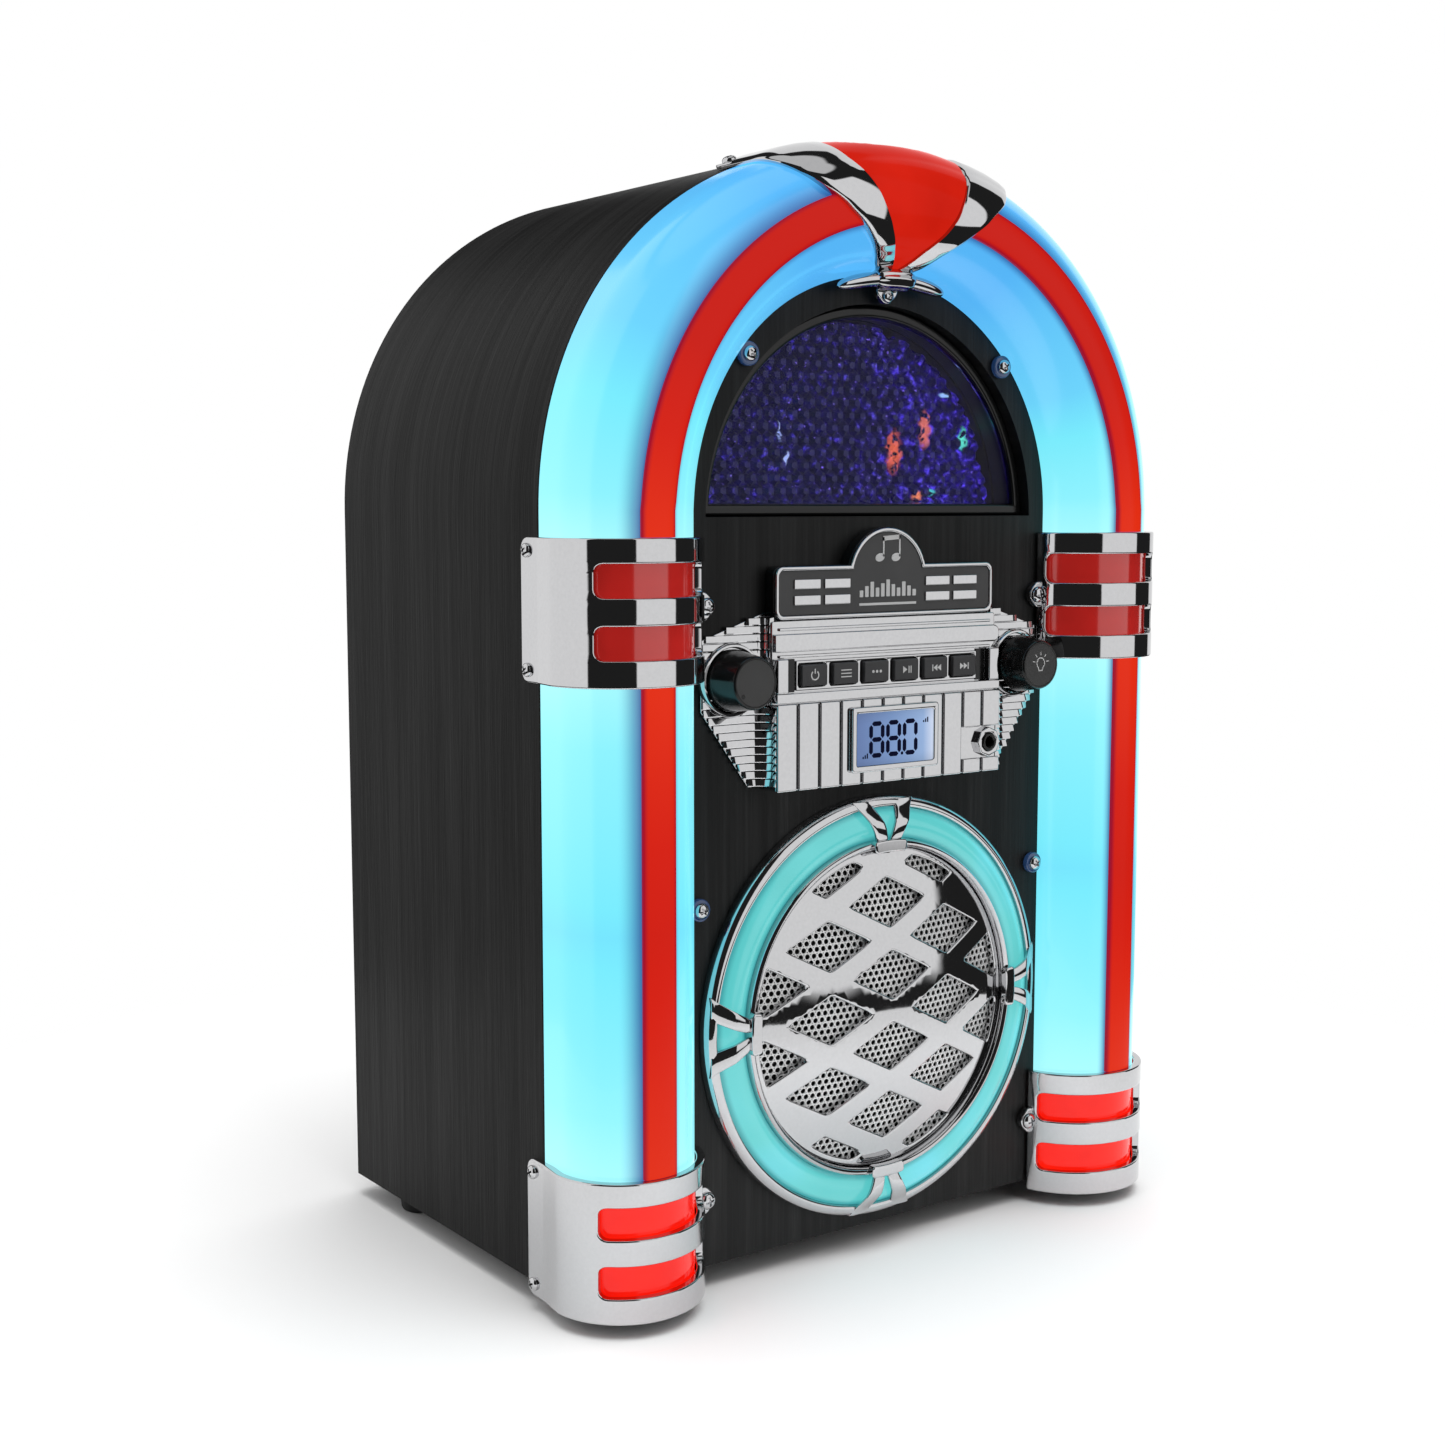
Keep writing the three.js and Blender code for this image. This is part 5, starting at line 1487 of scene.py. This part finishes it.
def grille():
    """The domed cover. Each opening has a rounded lip, so its outline is widest at the front face."""
    thickness, lip, steps = 2.4, 0.7, 4
    reach = GRILLE_R - GRILLE_RIM
    centres = [c for c in diamond_centres() if area(diamond_hole(*c, 0, reach)) > SMALLEST_OPENING]
    depths, grows = [], []
    for k in range(steps + 1):
        a = math.pi / 2 * k / steps
        depths.append(lip * (1 - math.sin(a)))
        grows.append(lip * (1 - math.cos(a)))
    layers = sorted(zip(depths, grows)) + [(thickness, 0.0)]

    def outlines(grow):
        holes = [diamond_hole(*c, grow, reach + grow) for c in centres]
        return [circle(0, 0, GRILLE_R - grow, 144), *holes]

    bm = bmesh.new()
    stacks = [outlines(grow) for _, grow in layers]
    for k, (depth, _) in enumerate(layers[:-1]):
        after = layers[k + 1][0]
        for upper, lower in zip(stacks[k], stacks[k + 1]):
            top = [bm.verts.new((x, depth, z)) for x, z in upper]
            bottom = [bm.verts.new((x, after, z)) for x, z in lower]
            for m in range(len(top)):
                bm.faces.new([top[m - 1], top[m], bottom[m], bottom[m - 1]])
    for stack, depth in ((stacks[0], 0.0), (stacks[-1], thickness)):
        cover(bm, stack, depth)
    bmesh.ops.remove_doubles(bm, verts=bm.verts, dist=0.0005)
    for vert in bm.verts:
        x, depth, z = vert.co
        vert.co = (x, dome_y(x, z) + depth, SPEAKER_Z + z)
    settle("grille_dome", mesh_of(bm, "grille_dome"), CHROME, hides=["speaker_grille"], sharp=50)
    perforated_sheet()


def perforated_sheet():
    """The metal behind the grille: a sheet of six-sided cells with a round hole in each."""
    pitch, hole, behind = 2.5, 0.92, 2.9
    bm = bmesh.new()
    for x, z in hexagons(pitch, GRILLE_R):
        if math.hypot(x, z) > GRILLE_R - 0.8:
            continue
        rim, edge = [], []
        for k in range(12):
            a = math.radians(30 * k)
            span = pitch / 2 / math.cos(math.radians((30 * k) % 60 - 30))
            for store, r in ((rim, span), (edge, hole)):
                px, pz = x + r * math.cos(a), z + r * math.sin(a)
                store.append(bm.verts.new((px, dome_y(px, pz) + behind, SPEAKER_Z + pz)))
        for k in range(12):
            bm.faces.new([rim[k - 1], rim[k], edge[k], edge[k - 1]])
    bmesh.ops.remove_doubles(bm, verts=bm.verts, dist=0.02)
    bmesh.ops.recalc_face_normals(bm, faces=bm.faces)
    bmesh.ops.solidify(bm, geom=bm.faces[:], thickness=0.5)
    settle("perforated_metal", mesh_of(bm, "perforated_metal"), SHEET_METAL, hides=["grille_mesh"])


# ---------------- back and inside


def back():
    rear = box_mm("rear_panel")[1].y
    edge = 8.0  # from the cabinet's side to the screws
    spots = [(side * (R - edge), z) for z in (14, 130, SPRING) for side in (-1, 1)]
    spots += arc(0, SPRING, R - edge, 45, 135, 2)
    for i, (x, z) in enumerate(spots):
        screw(f"rear_screw_{i}", (x, rear - 1.2, z), (0, 1, 0), 1.1, 25 * i, finish=STEEL)


def carried_over():
    """Gives the CAD nodes that stay their materials."""
    finishes = {
        "front_panel": PANEL_VENEER, "rear_panel": FIBRE, "dc_inlet": GLOSS_BLACK, "aux_jack": GLOSS_BLACK,
        "volume_shaft": STEEL, "lights_shaft": STEEL, "volume_potentiometer": STEEL, "lights_switch": STEEL,
        "speaker_basket": STEEL, "speaker_magnet": STEEL, "speaker_cone": CONE_PAPER,
    }
    for name, node in nodes.items():
        finish = finishes.get(name)
        if finish is None and ("board" in name or "light_strip" in name):
            finish = BOARD
        if finish:
            node.data.materials.clear()
            node.data.materials.append(finish)


# ---------------- camera, floor and light

CAMERA_AT = (-434.6, -514.6, 248.2)  # millimetres, as the shapes
CAMERA_AZIMUTH, CAMERA_ELEVATION = -35.78, 6.26
CAMERA_LENS = 49.77
LAMP_AT, LAMP_TARGET = (0.2, -0.3, 2.2), (0, 0, 0.18)  # metres


def camera():
    data = bpy.data.cameras.new("camera")
    data.lens = CAMERA_LENS
    data.sensor_width = 36
    made = linked("camera", data)
    a, e = math.radians(CAMERA_AZIMUTH), math.radians(CAMERA_ELEVATION)
    back_way = Vector((math.sin(a) * math.cos(e), -math.cos(a) * math.cos(e), math.sin(e)))
    made.location = place(CAMERA_AT)
    made.rotation_euler = back_way.to_track_quat("Z", "Y").to_euler()
    bpy.context.scene.camera = made


def studio_floor():
    """A pale disc that turns into even white before its edge."""
    bm = bmesh.new()
    bmesh.ops.create_circle(bm, cap_ends=True, segments=96, radius=0.4)
    mesh = bpy.data.meshes.new("studio_floor")
    bm.to_mesh(mesh)
    bm.free()

    def paint(sheet):
        x, y, _ = sheet.split(sheet.coords("Object"))
        glow = sheet.step(sheet.math("SQRT", sheet.squared_length(x, y)), 0.18, 0.38)
        return {"Emission Strength": glow, "Base Color": sheet.blend(glow, (0.9, 0.9, 0.9), (0.0, 0.0, 0.0))}

    sockets = {"Roughness": 0.9, "Emission Color": (1.02, 1.02, 1.02), "Specular IOR Level": 0.0}
    mesh.materials.append(material("studio_floor", "floor", paint, **sockets))
    linked("studio_floor", mesh)


# Soft panels of the studio: azimuth from and to, elevation from and to, in degrees, and brightness.
# Azimuth 0 is straight ahead of the jukebox and 90 is on its right.
PANELS = (
    (-8, 52, -10, 52, 1.0),
    (-179, -78, -14, 60, 1.0),
    (96, 150, -10, 56, 0.9),
    (-180, 180, 66, 90, 0.7),
)


def studio_world():
    world = bpy.data.worlds.new("studio")
    world.use_nodes = True
    sheet = Sheet(world.node_tree)
    x, y, z = sheet.split(sheet.coords("Generated"))
    azimuth = sheet.math("ARCTAN2", x, sheet.math("MULTIPLY", y, -1.0))
    elevation = sheet.math("ARCSINE", z)
    soft = math.radians(1.2)
    total = 0.02
    for a0, a1, e0, e1, brightness in PANELS:
        mask = brightness
        for value, low, high in ((azimuth, a0, a1), (elevation, e0, e1)):
            low, high = math.radians(low), math.radians(high)
            mask = sheet.math("MULTIPLY", mask, sheet.step(value, low - soft, low + soft))
            mask = sheet.math("MULTIPLY", mask, sheet.step(value, high + soft, high - soft))
        total = sheet.math("ADD", total, mask)
    seen = sheet.add("ShaderNodeLightPath")["Is Camera Ray"]
    background = sheet.add("ShaderNodeBackground", {"Color": sheet.blend(seen, total, (1.0, 1.0, 1.0))})
    sheet.add("ShaderNodeOutputWorld", {0: background[0]})
    bpy.context.scene.world = world


def overhead_lamp():
    """A large square lamp above the front, which lights the object but isn't mirrored in it."""
    data = bpy.data.lights.new("overhead", "AREA")
    data.shape = "SQUARE"
    data.size = 2.4
    data.energy = 60
    made = linked("overhead", data)
    made.location = LAMP_AT
    made.rotation_euler = (Vector(LAMP_TARGET) - Vector(LAMP_AT)).to_track_quat("-Z", "Y").to_euler()
    made.visible_glossy = False


# ---------------- everything

camera()
studio_floor()
studio_world()
overhead_lamp()
bpy.context.scene.view_settings.view_transform = "Standard"
cabinet_body()
feet()
tubes()
lens_tabs()
cuffs()
crown()
window()
wings()
panel_body()
lower_block()
display()
buttons()
knob("volume_knob", "volume_control", True)
knob("lights_knob", "lights_control", False)
sign()
speaker_rings()
for clip_index in range(4):
    speaker_clip(clip_index)
grille()
back()
carried_over()
